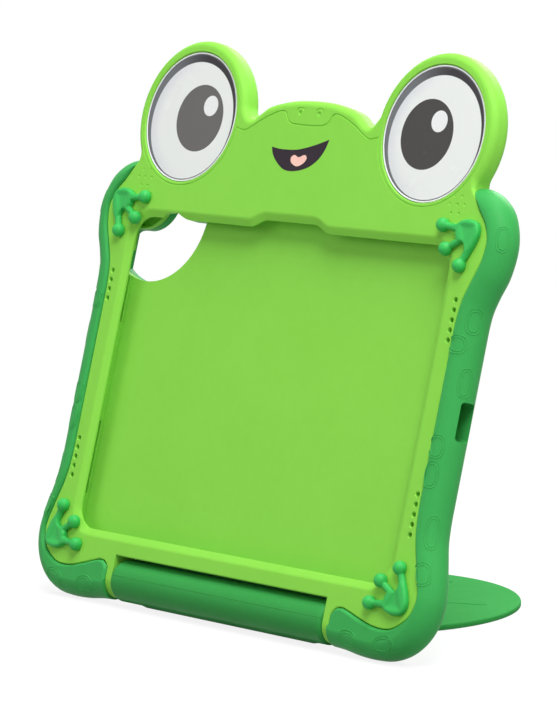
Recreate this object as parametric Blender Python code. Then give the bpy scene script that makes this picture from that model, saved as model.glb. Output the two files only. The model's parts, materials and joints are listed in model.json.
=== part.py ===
"""Tablet bumper case with a frog's face, and a round folding stand on a hinged bar.

The case is drawn flat in its own panel frame, which then leans back on its stand:
u runs to the right of the viewer, v up the screen and w out of the screen, with the
front face of the green shell in w = 0 and the middle of the screen at u = v = 0.
In the world the case faces -Y, stands on z = 0, and the stand reaches back along +Y.
"""

import math

import bmesh
import bpy
from mathutils import Euler, Matrix, Vector

MM = 0.001
GAP = 0.3 * MM  # between pieces that touch
TAU = 2 * math.pi

# The tablet that the case holds, and how it leans
TABLET_W = 248.6 * MM
TABLET_H = 179.5 * MM
TABLET_T = 7.0 * MM
TABLET_CORNER_R = 12.0 * MM
TABLET_FIT = 0.3 * MM
LEAN = math.radians(15.18)

# The inner shell: lip, tray and head
LIP_T = 3.0 * MM
LIP_REACH = 8.7 * MM  # how far the lip covers the edge of the tablet at the sides
LIP_REACH_TOP = 5.5 * MM  # the same at the top and bottom
LIP_BEVEL_W = 3.7 * MM
LIP_BEVEL_T = 2.0 * MM
TRAY_T = 3.0 * MM
BEZEL_BELOW = 5.85 * MM  # from the tablet to the lower edge of the shell
HEAD_FRONT_R = 4.0 * MM
HEAD_BACK_R = 6.0 * MM
HEAD_FADE_FROM = 21.0 * MM  # above the tablet, where the free edge starts to round
HEAD_FADE = 8.0 * MM
NOTCH_HALF = 20.0 * MM  # recess in the lip for the front camera
NOTCH_SLOPE = 8.0 * MM
NOTCH_RISE = 4.1 * MM

# The head above the screen
EYE_U = 91.1 * MM
EYE_ABOVE = 49.3 * MM  # centre of an eye above the tablet
EYE_RIM_R = 41.5 * MM
EYE_DISC_R = 34.9 * MM
EYE_DISC_T = 1.6 * MM
EYE_SET_BACK = 0.15 * MM
BROW_ABOVE = 62.4 * MM  # top of the head above the tablet
NOSTRIL_U = 7.1 * MM
NOSTRIL_ABOVE = 56.3 * MM
NOSTRIL_R = 1.5 * MM
FRECKLE_R = 0.7 * MM

# Openings for sound, plug and camera
HOLE_R = 1.25 * MM
HOLE_PITCH = 5.0 * MM
HOLES = 5
HOLE_FIRST = 38.1 * MM  # height of the innermost hole of each row
HOLE_OUT = 4.5 * MM  # from the tablet's edge
POCKET_OUT = 5.9 * MM
POCKET_V = (27.0 * MM, 66.0 * MM)
PORT_HALF = 9.7 * MM
PORT_SHELL_D = 5.7 * MM  # depth of the slot through the inner shell
PORT_BUMPER_W = (-13.8 * MM, -4.0 * MM)
PORT_CORNER_R = 2.0 * MM
CAMERA_U = 12.3 * MM  # centre of the camera opening, in from the tablet's corner
CAMERA_V = 0.25 * MM
CAMERA_R = 39.0 * MM
CAMERA_TOP_IN = 4.3 * MM  # from the tablet's upper edge to the opening's straight top
CORNER_COVER_U = 0.3 * MM
CORNER_COVER_V = 8.7 * MM
CORNER_COVER_R = 20.0 * MM

# The outer shell: a thick bumper round the edge and a plate across the back
BUMPER_R = 9.7 * MM
BUMPER_W = -8.3 * MM  # depth of the middle of the bumper
BUMPER_TUCK = 4.0 * MM  # how far it stays inside the head's edge
BAR_ROOM_ABOVE = 3.6 * MM

# The stand: a bar between two ears of the inner shell, and a round plate
AXIS_BELOW = 17.85 * MM  # hinge axis below the tablet
AXIS_W = -9.2 * MM
BAR_R = 11.0 * MM
BAR_END_R = 2.5 * MM
BAR_HALF = 80.5 * MM
BAR_SPLIT = math.radians(8.0)  # the bar's parting line, seen from the hinge axis
BAR_CORE_R = 7.2 * MM
EAR_CLEAR = 0.5 * MM
EAR_T = 4.4 * MM
EAR_R = 10.0 * MM
PAD_R = 84.8 * MM
PAD_T = 3.0 * MM
PAD_REACH = 93.3 * MM  # from the hinge axis to the middle of the plate
NECK_HALF = 64.0 * MM

# The friction hinges inside the bar's ends
SHAFT_R = 2.5 * MM
SHAFT_INNER = 59.0 * MM
SHAFT_SQUARE = 4.0 * MM
CLIP_SIZE = 9.0 * MM
CLIP_L = 18.0 * MM
CLIP_END = 3.0 * MM  # solid bar on either side of a clip
CLIP_SLOT = 1.2 * MM
ANCHOR_SIZE = 9.6 * MM
ANCHOR_L = 11.0 * MM

# The hands and feet on the corners
PAW_T = 2.9 * MM
PALM_RIM = 1.2 * MM
FINGER_R = 1.9 * MM
TOE_R = 3.9 * MM
TOE_RISE = 1.6 * MM

HALF_W = TABLET_W / 2
HALF_H = TABLET_H / 2
FLOOR_W = -(LIP_T + TABLET_T + TABLET_FIT)
SHELL_BACK_W = FLOOR_W - TRAY_T
BUMPER_BACK_W = BUMPER_W - BUMPER_R
EYE_V = HALF_H + EYE_ABOVE
BROW_V = HALF_H + BROW_ABOVE
AXIS_V = -(HALF_H + AXIS_BELOW)
BEZEL_V = -(HALF_H + BEZEL_BELOW)
EAR_IN = BAR_HALF + EAR_CLEAR
EAR_OUT = EAR_IN + EAR_T
EAR_ROUND_R = 6.0 * MM  # round corner where the ear leaves the lower edge
EAR_ROUND_BELOW = 9.5 * MM
EAR_ROOT = 1.5 * MM

# Outlines as offsets from a corner of the tablet, outwards and away from the middle
SEAM_TOP = ((4.7, 18.8), (8.7, 13.2), (13.7, 7.6), (17.0, 1.2), (17.7, -4.3),
            (16.3, -12.3), (12.7, -21.3), (9.3, -29.8), (7.7, -37.8), (7.1, -46.0))
SEAM_BOTTOM = ((7.1, -46.0), (7.9, -35.8), (9.8, -26.8), (13.7, -15.3), (16.7, -5.8),
               (17.0, 0.3), (14.2, 7.3), (8.2, 12.5), (1.2, 15.3), (-8.3, 15.2),
               (-18.3, 12.9), (-25.7, 10.7), (-31.8, 9.1))
BUMPER_TOP = ((-0.3, 24.9), (6.7, 24.9), (14.2, 22.3), (21.2, 16.8), (25.7, 9.3),
              (28.2, 0.8), (28.4, -7.8), (26.5, -18.3), (22.5, -27.8), (19.9, -36.0),
              (19.2, -45.0))
BUMPER_BOTTOM = ((19.2, -43.0), (20.0, -31.8), (22.6, -20.8), (25.3, -9.8), (26.3, 0.3),
                 (24.3, 10.3), (19.3, 19.1), (11.7, 25.9), (2.2, 29.9), (-8.3, 31.0),
                 (-19.3, 30.7), (-30.3, 29.4), (-38.3, 28.9))
BUMPER_LOW = 31.0 * MM  # lowest point of the bumper below the tablet
PALM = ((-4.3, 4.6), (-0.4, 7.8), (5.5, 9.2), (11.8, 7.4), (14.2, 2.0), (12.4, -4.6),
        (9.4, -9.4), (6.4, -10.2), (3.8, -4.8), (0.0, -3.4), (-2.9, -1.0), (-3.0, 2.0))
TOES = (((-12.0, 4.2), (-2.3, 3.4)), ((-7.2, -7.4), (0.4, -2.8)), ((4.1, -15.0), (7.6, -7.4)))
FRECKLES = ((-9.9, 19.2), (-4.5, 19.2), (-12.1, 15.2), (-6.8, 15.2), (-1.9, 15.2),
            (-10.0, 10.6), (-4.7, 10.6))

# How far the floor lies below the middle of the screen, and where the hinge axis lies
LIFT = ((HALF_H + BUMPER_LOW - BUMPER_R) * math.cos(LEAN)
        - BUMPER_W * math.sin(LEAN) + BUMPER_R)
AXIS_Y = AXIS_V * math.sin(LEAN) - AXIS_W * math.cos(LEAN)
AXIS_Z = AXIS_V * math.cos(LEAN) + AXIS_W * math.sin(LEAN) + LIFT
FRONT_Y = (-(HALF_H + BUMPER_LOW - BUMPER_R) * math.sin(LEAN)
           - BUMPER_W * math.cos(LEAN) - BUMPER_R)
SHIFT_Y = -(FRONT_Y + AXIS_Y + PAD_REACH + PAD_R) / 2


def clear_scene():
    for item in list(bpy.data.objects):
        bpy.data.objects.remove(item, do_unlink=True)


def plain_material(name, colour, roughness, metallic=0.0):
    """A Principled material from an sRGB colour in 0 to 255."""
    material = bpy.data.materials.new(name)
    material.use_nodes = True
    shader = material.node_tree.nodes["Principled BSDF"]
    linear = [(value / 255) ** 2.2 for value in colour]
    shader.inputs["Base Color"].default_value = (*linear, 1.0)
    shader.inputs["Roughness"].default_value = roughness
    shader.inputs["Metallic"].default_value = metallic
    return material


def empty(name, location, rotation):
    item = bpy.data.objects.new(name, None)
    item.location = location
    item.rotation_euler = Euler(rotation)
    bpy.context.collection.objects.link(item)
    return item


def loft(name, rings):
    """A closed solid through rings of as many points each, first and last ring capped."""
    mesh = bmesh.new()
    loops = [[mesh.verts.new(point) for point in ring] for ring in rings]
    count = len(rings[0])
    for lower, upper in zip(loops, loops[1:]):
        for k in range(count):
            after = (k + 1) % count
            mesh.faces.new((lower[k], lower[after], upper[after], upper[k]))
    mesh.faces.new(loops[0])
    mesh.faces.new(loops[-1])
    bmesh.ops.recalc_face_normals(mesh, faces=mesh.faces)
    data = bpy.data.meshes.new(name)
    mesh.to_mesh(data)
    mesh.free()
    item = bpy.data.objects.new(name, data)
    bpy.context.collection.objects.link(item)
    return item


def level(outline, w):
    return [Vector((u, v, w)) for u, v in outline]


def prism(name, outline, low, high):
    return loft(name, [level(outline, low), level(outline, high)])


def along_u(name, profile, start, end):
    """A prism of a (v, w) profile that runs along u."""
    return loft(name, [[Vector((u, v, w)) for v, w in profile] for u in (start, end)])


def box(name, u, v, w):
    return prism(name, ((u[0], v[0]), (u[1], v[0]), (u[1], v[1]), (u[0], v[1])), *w)


def boolean(target, tool, operation):
    """Joins the tool to the target, or cuts the target with it, and drops the tool."""
    step = target.modifiers.new(operation, "BOOLEAN")
    step.object = tool
    step.operation = operation
    step.solver = "EXACT"
    graph = bpy.context.evaluated_depsgraph_get()
    result = bpy.data.meshes.new_from_object(target.evaluated_get(graph))
    target.modifiers.clear()
    target.data = result
    bpy.data.objects.remove(tool, do_unlink=True)


def together(name, items):
    """One mesh of several solids that don't touch each other."""
    mesh = bmesh.new()
    for item in items:
        mesh.from_mesh(item.data)
        bpy.data.objects.remove(item, do_unlink=True)
    data = bpy.data.meshes.new(name)
    mesh.to_mesh(data)
    mesh.free()
    joined = bpy.data.objects.new(name, data)
    bpy.context.collection.objects.link(joined)
    return joined


def cut(target, *tools):
    for tool in tools:
        boolean(target, tool, "DIFFERENCE")


def add(target, *tools):
    for tool in tools:
        boolean(target, tool, "UNION")


def finish(item, name, parent, material, smooth=30.0):
    """Names a finished piece and hangs it on its frame."""
    item.name = name
    item.data.name = name
    item.parent = parent
    item.data.materials.clear()
    item.data.materials.append(material)
    item.data.shade_smooth()
    item.data.set_sharp_from_angle(angle=math.radians(smooth))
    return item


def arc(centre, radius, start, end, steps):
    """Points along an arc, in degrees, both ends included."""
    turns = [math.radians(start + (end - start) * k / steps) for k in range(steps + 1)]
    return [(centre[0] + radius * math.cos(a), centre[1] + radius * math.sin(a)) for a in turns]


def circle(centre, radius, sides):
    return arc(centre, radius, 0, 360 - 360 / sides, sides - 1)


def curve(points, steps=2):
    """A smooth curve through the points, by Catmull and Rom's rule."""
    ends = [points[0], *points, points[-1]]
    line = []
    for a, b, c, d in zip(ends, ends[1:], ends[2:], ends[3:]):
        for k in range(steps):
            t = k / steps
            line.append(tuple(
                0.5 * (2 * q + (r - p) * t + (2 * p - 5 * q + 4 * r - s) * t ** 2
                       + (3 * q - p - 3 * r + s) * t ** 3)
                for p, q, r, s in zip(a, b, c, d)))
    line.append(tuple(points[-1]))
    return line


def from_corner(offsets, side):
    """Offsets from the tablet's upper right (side 1) or lower right (side -1) corner."""
    return [(HALF_W + du * MM, side * (HALF_H + dv * MM)) for du, dv in offsets]


def mirrored(half):
    """A closed outline from its right half, which starts and ends on u = 0."""
    left = [(-u, v) for u, v in reversed(half[1:-1])]
    return [*half, *left]


def normals(outline):
    """Outward direction at each point of an outline that runs clockwise."""
    count = len(outline)
    result = []
    for k, here in enumerate(outline):
        before = Vector(here) - Vector(outline[k - 1])
        after = Vector(outline[(k + 1) % count]) - Vector(here)
        first = Vector((-before.y, before.x)).normalized()
        second = Vector((-after.y, after.x)).normalized()
        middle = (first + second).normalized()
        result.append(middle / max(0.6, middle.dot(first)))
    return result


def inset(outline, distances):
    """Moves each point of a clockwise outline inwards by its own distance."""
    return [(u - n.x * d, v - n.y * d)
            for (u, v), n, d in zip(outline, normals(outline), distances)]


def outset(outline, distance):
    return inset(outline, [-distance] * len(outline))


def rounded_box(half_u, half_v, radius, steps=4):
    """A clockwise rectangle with round corners, round the middle of the screen."""
    line = []
    for su, sv, start in ((1, 1, 90), (1, -1, 0), (-1, -1, -90), (-1, 1, -180)):
        centre = (su * (half_u - radius), sv * (half_v - radius))
        line.extend(arc(centre, radius, start, start - 90, steps))
    return line


def head_half(shrink=0.0):
    """Right half of the head's edge, from the brow round the eye towards the shoulder."""
    brow = [(0.0, BROW_V - shrink), (EYE_U * 0.17, BROW_V - 0.8 * MM - shrink),
            (EYE_U * 0.34, BROW_V - 4.0 * MM - shrink),
            (EYE_U * 0.47, BROW_V - 9.0 * MM - shrink)]
    eye = arc((EYE_U, EYE_V), EYE_RIM_R - shrink, 170, -34, 17)
    return curve(brow) + eye


def shell_half():
    """Right half of the inner shell: head, seam with the bumper, ear and lower edge."""
    seam = curve(from_corner(SEAM_TOP, 1))
    middle = (EAR_OUT + EAR_ROUND_R, BEZEL_V - EAR_ROUND_BELOW)
    ear_round = arc(middle, EAR_ROUND_R, 80, 180, 4)
    seam += [point for point in curve(from_corner(SEAM_BOTTOM, -1))
             if point[0] > ear_round[0][0]]
    ear = [(EAR_OUT, AXIS_V), (EAR_IN, AXIS_V), (EAR_IN, BEZEL_V), (0.0, BEZEL_V)]
    return head_half() + seam + ear_round + ear


def edge_rounding(outline):
    """1 on the head's free edge, 0 along the seam, and a short fade between them."""
    start = HALF_H + HEAD_FADE_FROM
    return [min(1.0, max(0.0, (v - start) / HEAD_FADE)) for _, v in outline]


def quarter(steps):
    return [math.radians(90 * k / steps) for k in range(steps + 1)]


def inner_shell_body():
    outline = mirrored(shell_half())
    weight = edge_rounding(outline)
    rings = []
    for turn in quarter(3):
        depth = [HEAD_FRONT_R * (1 - math.sin(turn)) * share for share in weight]
        rings.append(level(inset(outline, depth), -HEAD_FRONT_R * (1 - math.cos(turn))))
    for turn in reversed(quarter(3)):
        depth = [HEAD_BACK_R * (1 - math.sin(turn)) * share for share in weight]
        w = SHELL_BACK_W + HEAD_BACK_R * (1 - math.cos(turn))
        rings.append(level(inset(outline, depth), w))
    return loft("inner_shell", rings)


def ear(side):
    """Round lug beside the bar's end, flush with the face and clear of the outer shell."""
    round_end = [(v, w) for w, v in arc((AXIS_W, AXIS_V), EAR_R, 0, -180, 12)]
    round_end = [(v, AXIS_W + (w - AXIS_W) * abs(AXIS_W) / EAR_R) for v, w in round_end]
    back = 2 * AXIS_W
    profile = [(BEZEL_V + EAR_ROOT, 0.0), *round_end, (BEZEL_V - GAP, back),
               (BEZEL_V - GAP, SHELL_BACK_W), (BEZEL_V + EAR_ROOT, SHELL_BACK_W)]
    return along_u("ear", profile, side * EAR_IN, side * EAR_OUT)


def screen_opening():
    """Lip opening with its bevel, and the recess for the front camera above it."""
    half_u = HALF_W - LIP_REACH
    half_v = HALF_H - LIP_REACH_TOP
    wide = LIP_BEVEL_W
    narrow = rounded_box(half_u, half_v, TABLET_CORNER_R)
    open_out = rounded_box(half_u + wide, half_v + wide, TABLET_CORNER_R + wide)
    above = 1.0 * MM
    slope = wide / LIP_BEVEL_T
    top = rounded_box(half_u + wide + above * slope, half_v + wide + above * slope,
                      TABLET_CORNER_R + wide + above * slope)
    opening = loft("opening", [level(narrow, -LIP_T - above), level(narrow, -LIP_BEVEL_T),
                               level(open_out, 0.0), level(top, above)])
    rings = []
    for grow, w in ((0.0, -LIP_T - above), (0.0, -LIP_BEVEL_T), (wide, 0.0),
                    (wide + above * slope, above)):
        low = half_v - 2 * MM
        high = half_v + NOTCH_RISE + grow
        foot = NOTCH_HALF + NOTCH_SLOPE
        rings.append(level([(-foot, low), (-foot, half_v + grow * 0.98),
                            (-NOTCH_HALF, high), (NOTCH_HALF, high),
                            (foot, half_v + grow * 0.98), (foot, low)], w))
    return opening, loft("notch", rings)


def camera_opening(name):
    """Round opening for the rear camera, without the cover over the tablet's corner."""
    grow = 12.0 * MM
    deep = (BUMPER_BACK_W - 5 * MM, FLOOR_W + 1 * MM)
    centre = (-(HALF_W - CAMERA_U), HALF_H - CAMERA_V)
    tool = prism(name, circle(centre, CAMERA_R, 72), *deep)
    wall = -(HALF_W + TABLET_FIT)
    upper = HALF_H - CAMERA_TOP_IN
    allowed = [(wall, HALF_H - CAMERA_R - grow), (-HALF_W + 60 * MM, HALF_H - CAMERA_R - grow),
               (-HALF_W + 60 * MM, upper), (-HALF_W + 36 * MM, upper),
               (-HALF_W + 32 * MM, upper + 1.0 * MM), (-HALF_W + 28 * MM, upper + 4.0 * MM),
               (wall, upper + 4.0 * MM)]
    span = (deep[0] - 1 * MM, deep[1] + 1 * MM)
    boolean(tool, prism("allowed", allowed, *span), "INTERSECT")
    cover = (-(HALF_W - CORNER_COVER_U), HALF_H + CORNER_COVER_V)
    cut(tool, prism("corner_cover", circle(cover, CORNER_COVER_R, 40), *span))
    return tool


def port_slot(name, u, w):
    """A slot with round corners through the right side, (v, w) in section."""
    middle = (w[0] + w[1]) / 2
    shape = rounded_box(PORT_HALF, (w[1] - w[0]) / 2, PORT_CORNER_R, 3)
    profile = [(v, middle + offset) for v, offset in shape]
    return along_u(name, profile, *u)


def speaker_cuts():
    """Rows of holes beside the screen, each row over a pocket in the side wall."""
    pockets = []
    holes = []
    for side in (-1, 1):
        edge = (side * (HALF_W - 1 * MM), side * (HALF_W + POCKET_OUT))
        for end in (-1, 1):
            v = sorted(end * value for value in POCKET_V)
            pockets.append(box("pocket", sorted(edge), v, (FLOOR_W + 0.8 * MM, -LIP_T)))
            missing = 1 if (side, end) == (-1, 1) else 0
            for k in range(HOLES - missing):
                centre = (side * (HALF_W + HOLE_OUT), end * (HOLE_FIRST + k * HOLE_PITCH))
                hole = prism("hole", circle(centre, HOLE_R, 10), -LIP_T - 1 * MM, 1 * MM)
                holes.append(hole)
    return together("pockets", pockets), together("holes", holes)


def dimples():
    """Nostrils in the head and a group of freckles under each eye."""
    tools = []
    for side in (-1, 1):
        centre = (side * NOSTRIL_U, HALF_H + NOSTRIL_ABOVE)
        rings = [level(circle(centre, NOSTRIL_R * share, 10), depth * MM)
                 for share, depth in ((0.4, -1.0), (1.0, -0.1), (1.2, 0.6))]
        tools.append(loft("nostril", rings))
        for du, dv in FRECKLES:
            centre = (side * (HALF_W + du * MM), HALF_H + dv * MM)
            rings = [level(circle(centre, FRECKLE_R * share, 6), depth * MM)
                     for share, depth in ((0.4, -0.5), (1.0, -0.1), (1.2, 0.4))]
            tools.append(loft("freckle", rings))
    return together("dimples", tools)


def build_inner_shell(frame, material):
    item = inner_shell_body()
    add(item, ear(-1), ear(1))
    cavity = rounded_box(HALF_W + TABLET_FIT, HALF_H + TABLET_FIT, TABLET_CORNER_R)
    cut(item, prism("cavity", cavity, FLOOR_W, -LIP_T), *screen_opening())
    cut(item, camera_opening("camera"), *speaker_cuts(), dimples())
    reach = (HALF_W - 2 * MM, HALF_W + 20 * MM)
    cut(item, port_slot("port", reach, (FLOOR_W + 0.02 * MM, FLOOR_W + PORT_SHELL_D)))
    for side in (-1, 1):
        socket = circle((side * EYE_U, EYE_V), EYE_DISC_R + GAP, 64)
        depth = -(EYE_SET_BACK + EYE_DISC_T + GAP)
        bore = circle((AXIS_V, AXIS_W), SHAFT_R + GAP, 16)
        ends = (side * (EAR_IN - 1 * MM), side * (EAR_OUT + 1 * MM))
        cut(item, prism("socket", socket, depth, 2 * MM), along_u("bore", bore, *ends))
    return finish(item, "inner_shell", frame, material)


def bumper_half():
    """Right half of the outer shell's widest outline, behind the head and down the side."""
    head = head_half(shrink=BUMPER_TUCK)[:-2]
    side = curve(from_corner(BUMPER_TOP, 1))[:-1]
    side += curve(from_corner(BUMPER_BOTTOM, -1))
    return head + side + [(0.0, side[-1][1])]


def build_outer_shell(frame, material):
    outline = mirrored(bumper_half())
    rings = []
    for k in range(9):
        turn = math.radians(8 + (180 - 8) * k / 8)
        depth = [BUMPER_R * (1 - math.sin(turn))] * len(outline)
        rings.append(level(inset(outline, depth), BUMPER_W + BUMPER_R * math.cos(turn)))
    item = loft("outer_shell", rings)
    seat = outset(mirrored(shell_half()), GAP)
    cut(item, prism("seat", seat, SHELL_BACK_W - GAP, 5 * MM))
    low = -(HALF_H + 60 * MM)
    bar_room = box("bar_room", (-EAR_OUT - GAP, EAR_OUT + GAP),
                   (low, BEZEL_V + BAR_ROOM_ABOVE), (-40 * MM, 10 * MM))
    cut(item, bar_room, camera_opening("camera"))
    cut(item, port_slot("port", (HALF_W, HALF_W + 40 * MM), PORT_BUMPER_W))
    for side in (-1, 1):
        half = ANCHOR_SIZE / 2 + GAP
        ends = sorted((side * (EAR_OUT - 1 * MM), side * (EAR_OUT + GAP + ANCHOR_L + 2 * GAP)))
        cut(item, box("anchor_room", ends, (AXIS_V - half, AXIS_V + half),
                      (AXIS_W - half, AXIS_W + half)))
    return finish(item, "outer_shell", frame, material)


def ball(name, centre, radius, sides=10, rows=6):
    """A sphere as a stack of rings along w, its poles closed by small caps."""
    rings = []
    for k in range(rows):
        turn = math.pi * (k + 0.35) / (rows - 0.3)
        ring = circle(centre[:2], radius * math.sin(turn), sides)
        rings.append(level(ring, centre[2] - radius * math.cos(turn)))
    return loft(name, rings)


def finger(start, end, radius):
    """A round bar between two points that lie at the same height w."""
    direction = (Vector(end) - Vector(start)).normalized()
    across = Vector((-direction.y, direction.x, 0.0))
    rings = []
    for centre in (start, end):
        rings.append([Vector(centre) + across * (radius * math.cos(TAU * k / 10))
                      + Vector((0, 0, radius * math.sin(TAU * k / 10))) for k in range(10)])
    return loft("finger", rings)


def build_paw(name, frame, material, side_u, side_v):
    """Palm, three fingers and toe balls, resting on the face over a corner."""
    def place(offset):
        return (side_u * (HALF_W + offset[0] * MM), side_v * (HALF_H + offset[1] * MM))

    palm = curve([place(offset) for offset in (*PALM, PALM[0])])[:-1]
    if side_u * side_v < 0:
        palm.reverse()
    rings = []
    for turn in reversed(quarter(3)):
        depth = [PALM_RIM * (1 - math.sin(turn))] * len(palm)
        rings.append(level(inset(palm, depth), PAW_T - PALM_RIM * (1 - math.cos(turn))))
    item = loft(name, [level(palm, -2 * MM), *rings])
    for toe, root in TOES:
        tip = (*place(toe), TOE_RISE)
        add(item, finger((*place(root), TOE_RISE - 0.2 * MM), (*tip[:2], TOE_RISE - 0.2 * MM),
                         FINGER_R))
        add(item, ball("toe", tip, TOE_R))
    cut(item, box("face", (-HALF_W * 2, HALF_W * 2), (-HALF_H * 2, HALF_H * 2),
                  (-20 * MM, GAP)))
    return finish(item, name, frame, material, 50.0)


def build_eye_disc(name, frame, material, side):
    """Flat round plate that lies in its socket in the head."""
    centre = (side * EYE_U, EYE_V)
    edge = 0.4 * MM
    back = -(EYE_SET_BACK + EYE_DISC_T)
    rings = [level(circle(centre, EYE_DISC_R, 64), back),
             level(circle(centre, EYE_DISC_R, 64), -EYE_SET_BACK - edge),
             level(circle(centre, EYE_DISC_R - edge, 64), -EYE_SET_BACK)]
    return finish(loft(name, rings), name, frame, material)


def build_hinge_fixed(frame, steel, plastic, name, side):
    """The shaft and the block in the bumper that keeps it from turning."""
    inner = EAR_OUT + 1.0 * MM
    outer = EAR_OUT + 2 * GAP + ANCHOR_L - 1.0 * MM
    shaft = along_u("shaft", circle((AXIS_V, AXIS_W), SHAFT_R, 16),
                    side * SHAFT_INNER, side * inner)
    half = SHAFT_SQUARE / 2
    square = box("square", sorted((side * (inner - 0.5 * MM), side * outer)),
                 (AXIS_V - half, AXIS_V + half), (AXIS_W - half, AXIS_W + half))
    add(shaft, square)
    finish(shaft, name + "_hinge_shaft", frame, steel)
    start = side * (EAR_OUT + 2 * GAP)
    wide = ANCHOR_SIZE / 2
    anchor = box("anchor", sorted((start, start + side * ANCHOR_L)),
                 (AXIS_V - wide, AXIS_V + wide), (AXIS_W - wide, AXIS_W + wide))
    seat = half + GAP
    cut(anchor, box("seat", sorted((start - side * 1 * MM, start + side * (ANCHOR_L + 1 * MM))),
                    (AXIS_V - seat, AXIS_V + seat), (AXIS_W - seat, AXIS_W + seat)))
    mouth = circle((AXIS_V, AXIS_W), SHAFT_R + GAP, 16)
    cut(anchor, along_u("mouth", mouth, start - side * 1 * MM, start + side * 1.4 * MM))
    finish(anchor, name + "_hinge_anchor", frame, plastic)


def build_clip(frame, steel, name, side):
    """Slotted spring block that grips the shaft and turns with the bar."""
    half = CLIP_SIZE / 2
    outer = side * (BAR_HALF - CLIP_END)
    inner = outer - side * CLIP_L
    item = box("clip", sorted((inner, outer)), (-half, half), (-half, half))
    ends = (inner - side * 1 * MM, outer + side * 1 * MM)
    cut(item, along_u("bore", circle((0, 0), SHAFT_R + GAP, 16), *ends))
    slot = CLIP_SLOT / 2
    cut(item, box("slot", sorted(ends), (0.0, half + 1 * MM), (-slot, slot)))
    return finish(item, name + "_hinge_clip", frame, steel)


def barrel():
    """The bar as a round body with rounded ends, about the hinge axis."""
    rings = []
    for side in (-1, 1):
        turns = quarter(3) if side < 0 else list(reversed(quarter(3)))
        for turn in turns:
            u = side * (BAR_HALF - BAR_END_R * (1 - math.sin(math.pi / 2 - turn)))
            radius = BAR_R - BAR_END_R * (1 - math.sin(turn))
            rings.append([Vector((u, y, z)) for y, z in circle((0, 0), radius, 40)])
    return loft("barrel", rings)


def bar_half(name, upper):
    """One half of the bar: the upper front cover, or the lower half under the stand."""
    item = barrel()
    far = 30 * MM
    low, high = (-far, GAP / 2) if upper else (-GAP / 2, far)
    tool = box("parting", (-BAR_HALF - far, BAR_HALF + far), (-far, far), (low, high))
    tool.data.transform(Matrix.Rotation(BAR_SPLIT_WORLD, 4, "X"))
    cut(item, tool)
    core = BAR_HALF - 2 * CLIP_END - CLIP_L
    cut(item, along_u("core", circle((0, 0), BAR_CORE_R, 24), -core, core))
    for side in (-1, 1):
        room = CLIP_SIZE / 2 + GAP
        outer = side * (BAR_HALF - CLIP_END + GAP)
        inner = outer - side * (CLIP_L + 2 * GAP)
        cut(item, box("room", sorted((inner, outer)), (-room, room), (-room, room)))
        cut(item, along_u("bore", circle((0, 0), SHAFT_R + GAP, 16),
                          side * (core + 1 * MM), side * (BAR_HALF + 1 * MM)))
    item.name = name
    return item


# The parting line's turn in the world, where the panel leans back
BAR_SPLIT_WORLD = -(LEAN + BAR_SPLIT)


def build_stand(frame, material):
    """Round plate with its neck and the lower half of the bar, as one moulding."""
    item = bar_half("stand", upper=False)
    floor = -AXIS_Z
    top = floor + PAD_T
    neck = [(-4.0 * MM, -BAR_R * 0.9), (1.0 * MM, floor + 0.35 * MM), (5.0 * MM, floor),
            (16.0 * MM, floor), (16.0 * MM, top), (13.5 * MM, top), (11.0 * MM, top + 0.7 * MM),
            (9.4 * MM, top + 2.4 * MM), (8.6 * MM, top + 5.0 * MM), (0.0, -4.0 * MM - CLIP_SIZE / 2)]
    add(item, along_u("neck", neck, -NECK_HALF, NECK_HALF))
    plan = [(NECK_HALF, 13.0 * MM), (NECK_HALF - 6 * MM, 20.0 * MM),
            (NECK_HALF - 12 * MM, 30.0 * MM), (NECK_HALF - 17 * MM, 45.0 * MM)]
    plan += [(-u, y) for u, y in reversed(plan)]
    web = prism("web", plan, floor, top)
    edge = 0.8 * MM
    centre = (0.0, PAD_REACH)
    pad = loft("pad", [level(circle(centre, PAD_R - edge, 96), floor),
                       level(circle(centre, PAD_R, 96), floor + edge),
                       level(circle(centre, PAD_R, 96), top - edge),
                       level(circle(centre, PAD_R - edge, 96), top)])
    add(pad, web)
    add(item, pad)
    return finish(item, "stand", frame, material)


def main():
    clear_scene()
    lime = plain_material("lime_rubber", (134, 206, 78), 0.55)
    green = plain_material("green_rubber", (68, 171, 88), 0.55)
    paw_green = plain_material("paw_green", (62, 181, 87), 0.5)
    stand_green = plain_material("stand_green", (60, 150, 75), 0.5)
    white = plain_material("disc_white", (232, 234, 231), 0.3)
    steel = plain_material("steel", (150, 150, 152), 0.35, 1.0)
    grey = plain_material("anchor_grey", (90, 92, 94), 0.5)

    panel = empty("panel", (0.0, SHIFT_Y, LIFT), (math.pi / 2 - LEAN, 0.0, 0.0))
    axis = empty("stand_axis", (0.0, AXIS_Y + SHIFT_Y, AXIS_Z), (0.0, 0.0, 0.0))

    build_inner_shell(panel, lime)
    build_outer_shell(panel, green)
    for side, name in ((-1, "left"), (1, "right")):
        build_eye_disc(name + "_eye_disc", panel, white, side)
        build_paw(name + "_hand", panel, paw_green, side, 1)
        build_paw(name + "_foot", panel, paw_green, side, -1)
        build_hinge_fixed(panel, steel, grey, name, side)
        build_clip(axis, steel, name, side)
    build_stand(axis, stand_green)
    finish(bar_half("bar_cover", upper=True), "bar_cover", axis, stand_green)


main()
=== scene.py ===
# %% [markdown]
# # A frog-shaped bumper case for a tablet
#
# The real case is moulded from soft rubber: a lime green inner shell with a frog's
# head, a darker green bumper round it, glossy little paws on the corners and a bar
# with a round foot that folds out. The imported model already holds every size, so this
# script only adds the surface: smoother forms, the printed eyes, the finish and light.

import json
import math

import bmesh
import bpy
from mathutils import Matrix, Vector


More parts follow.
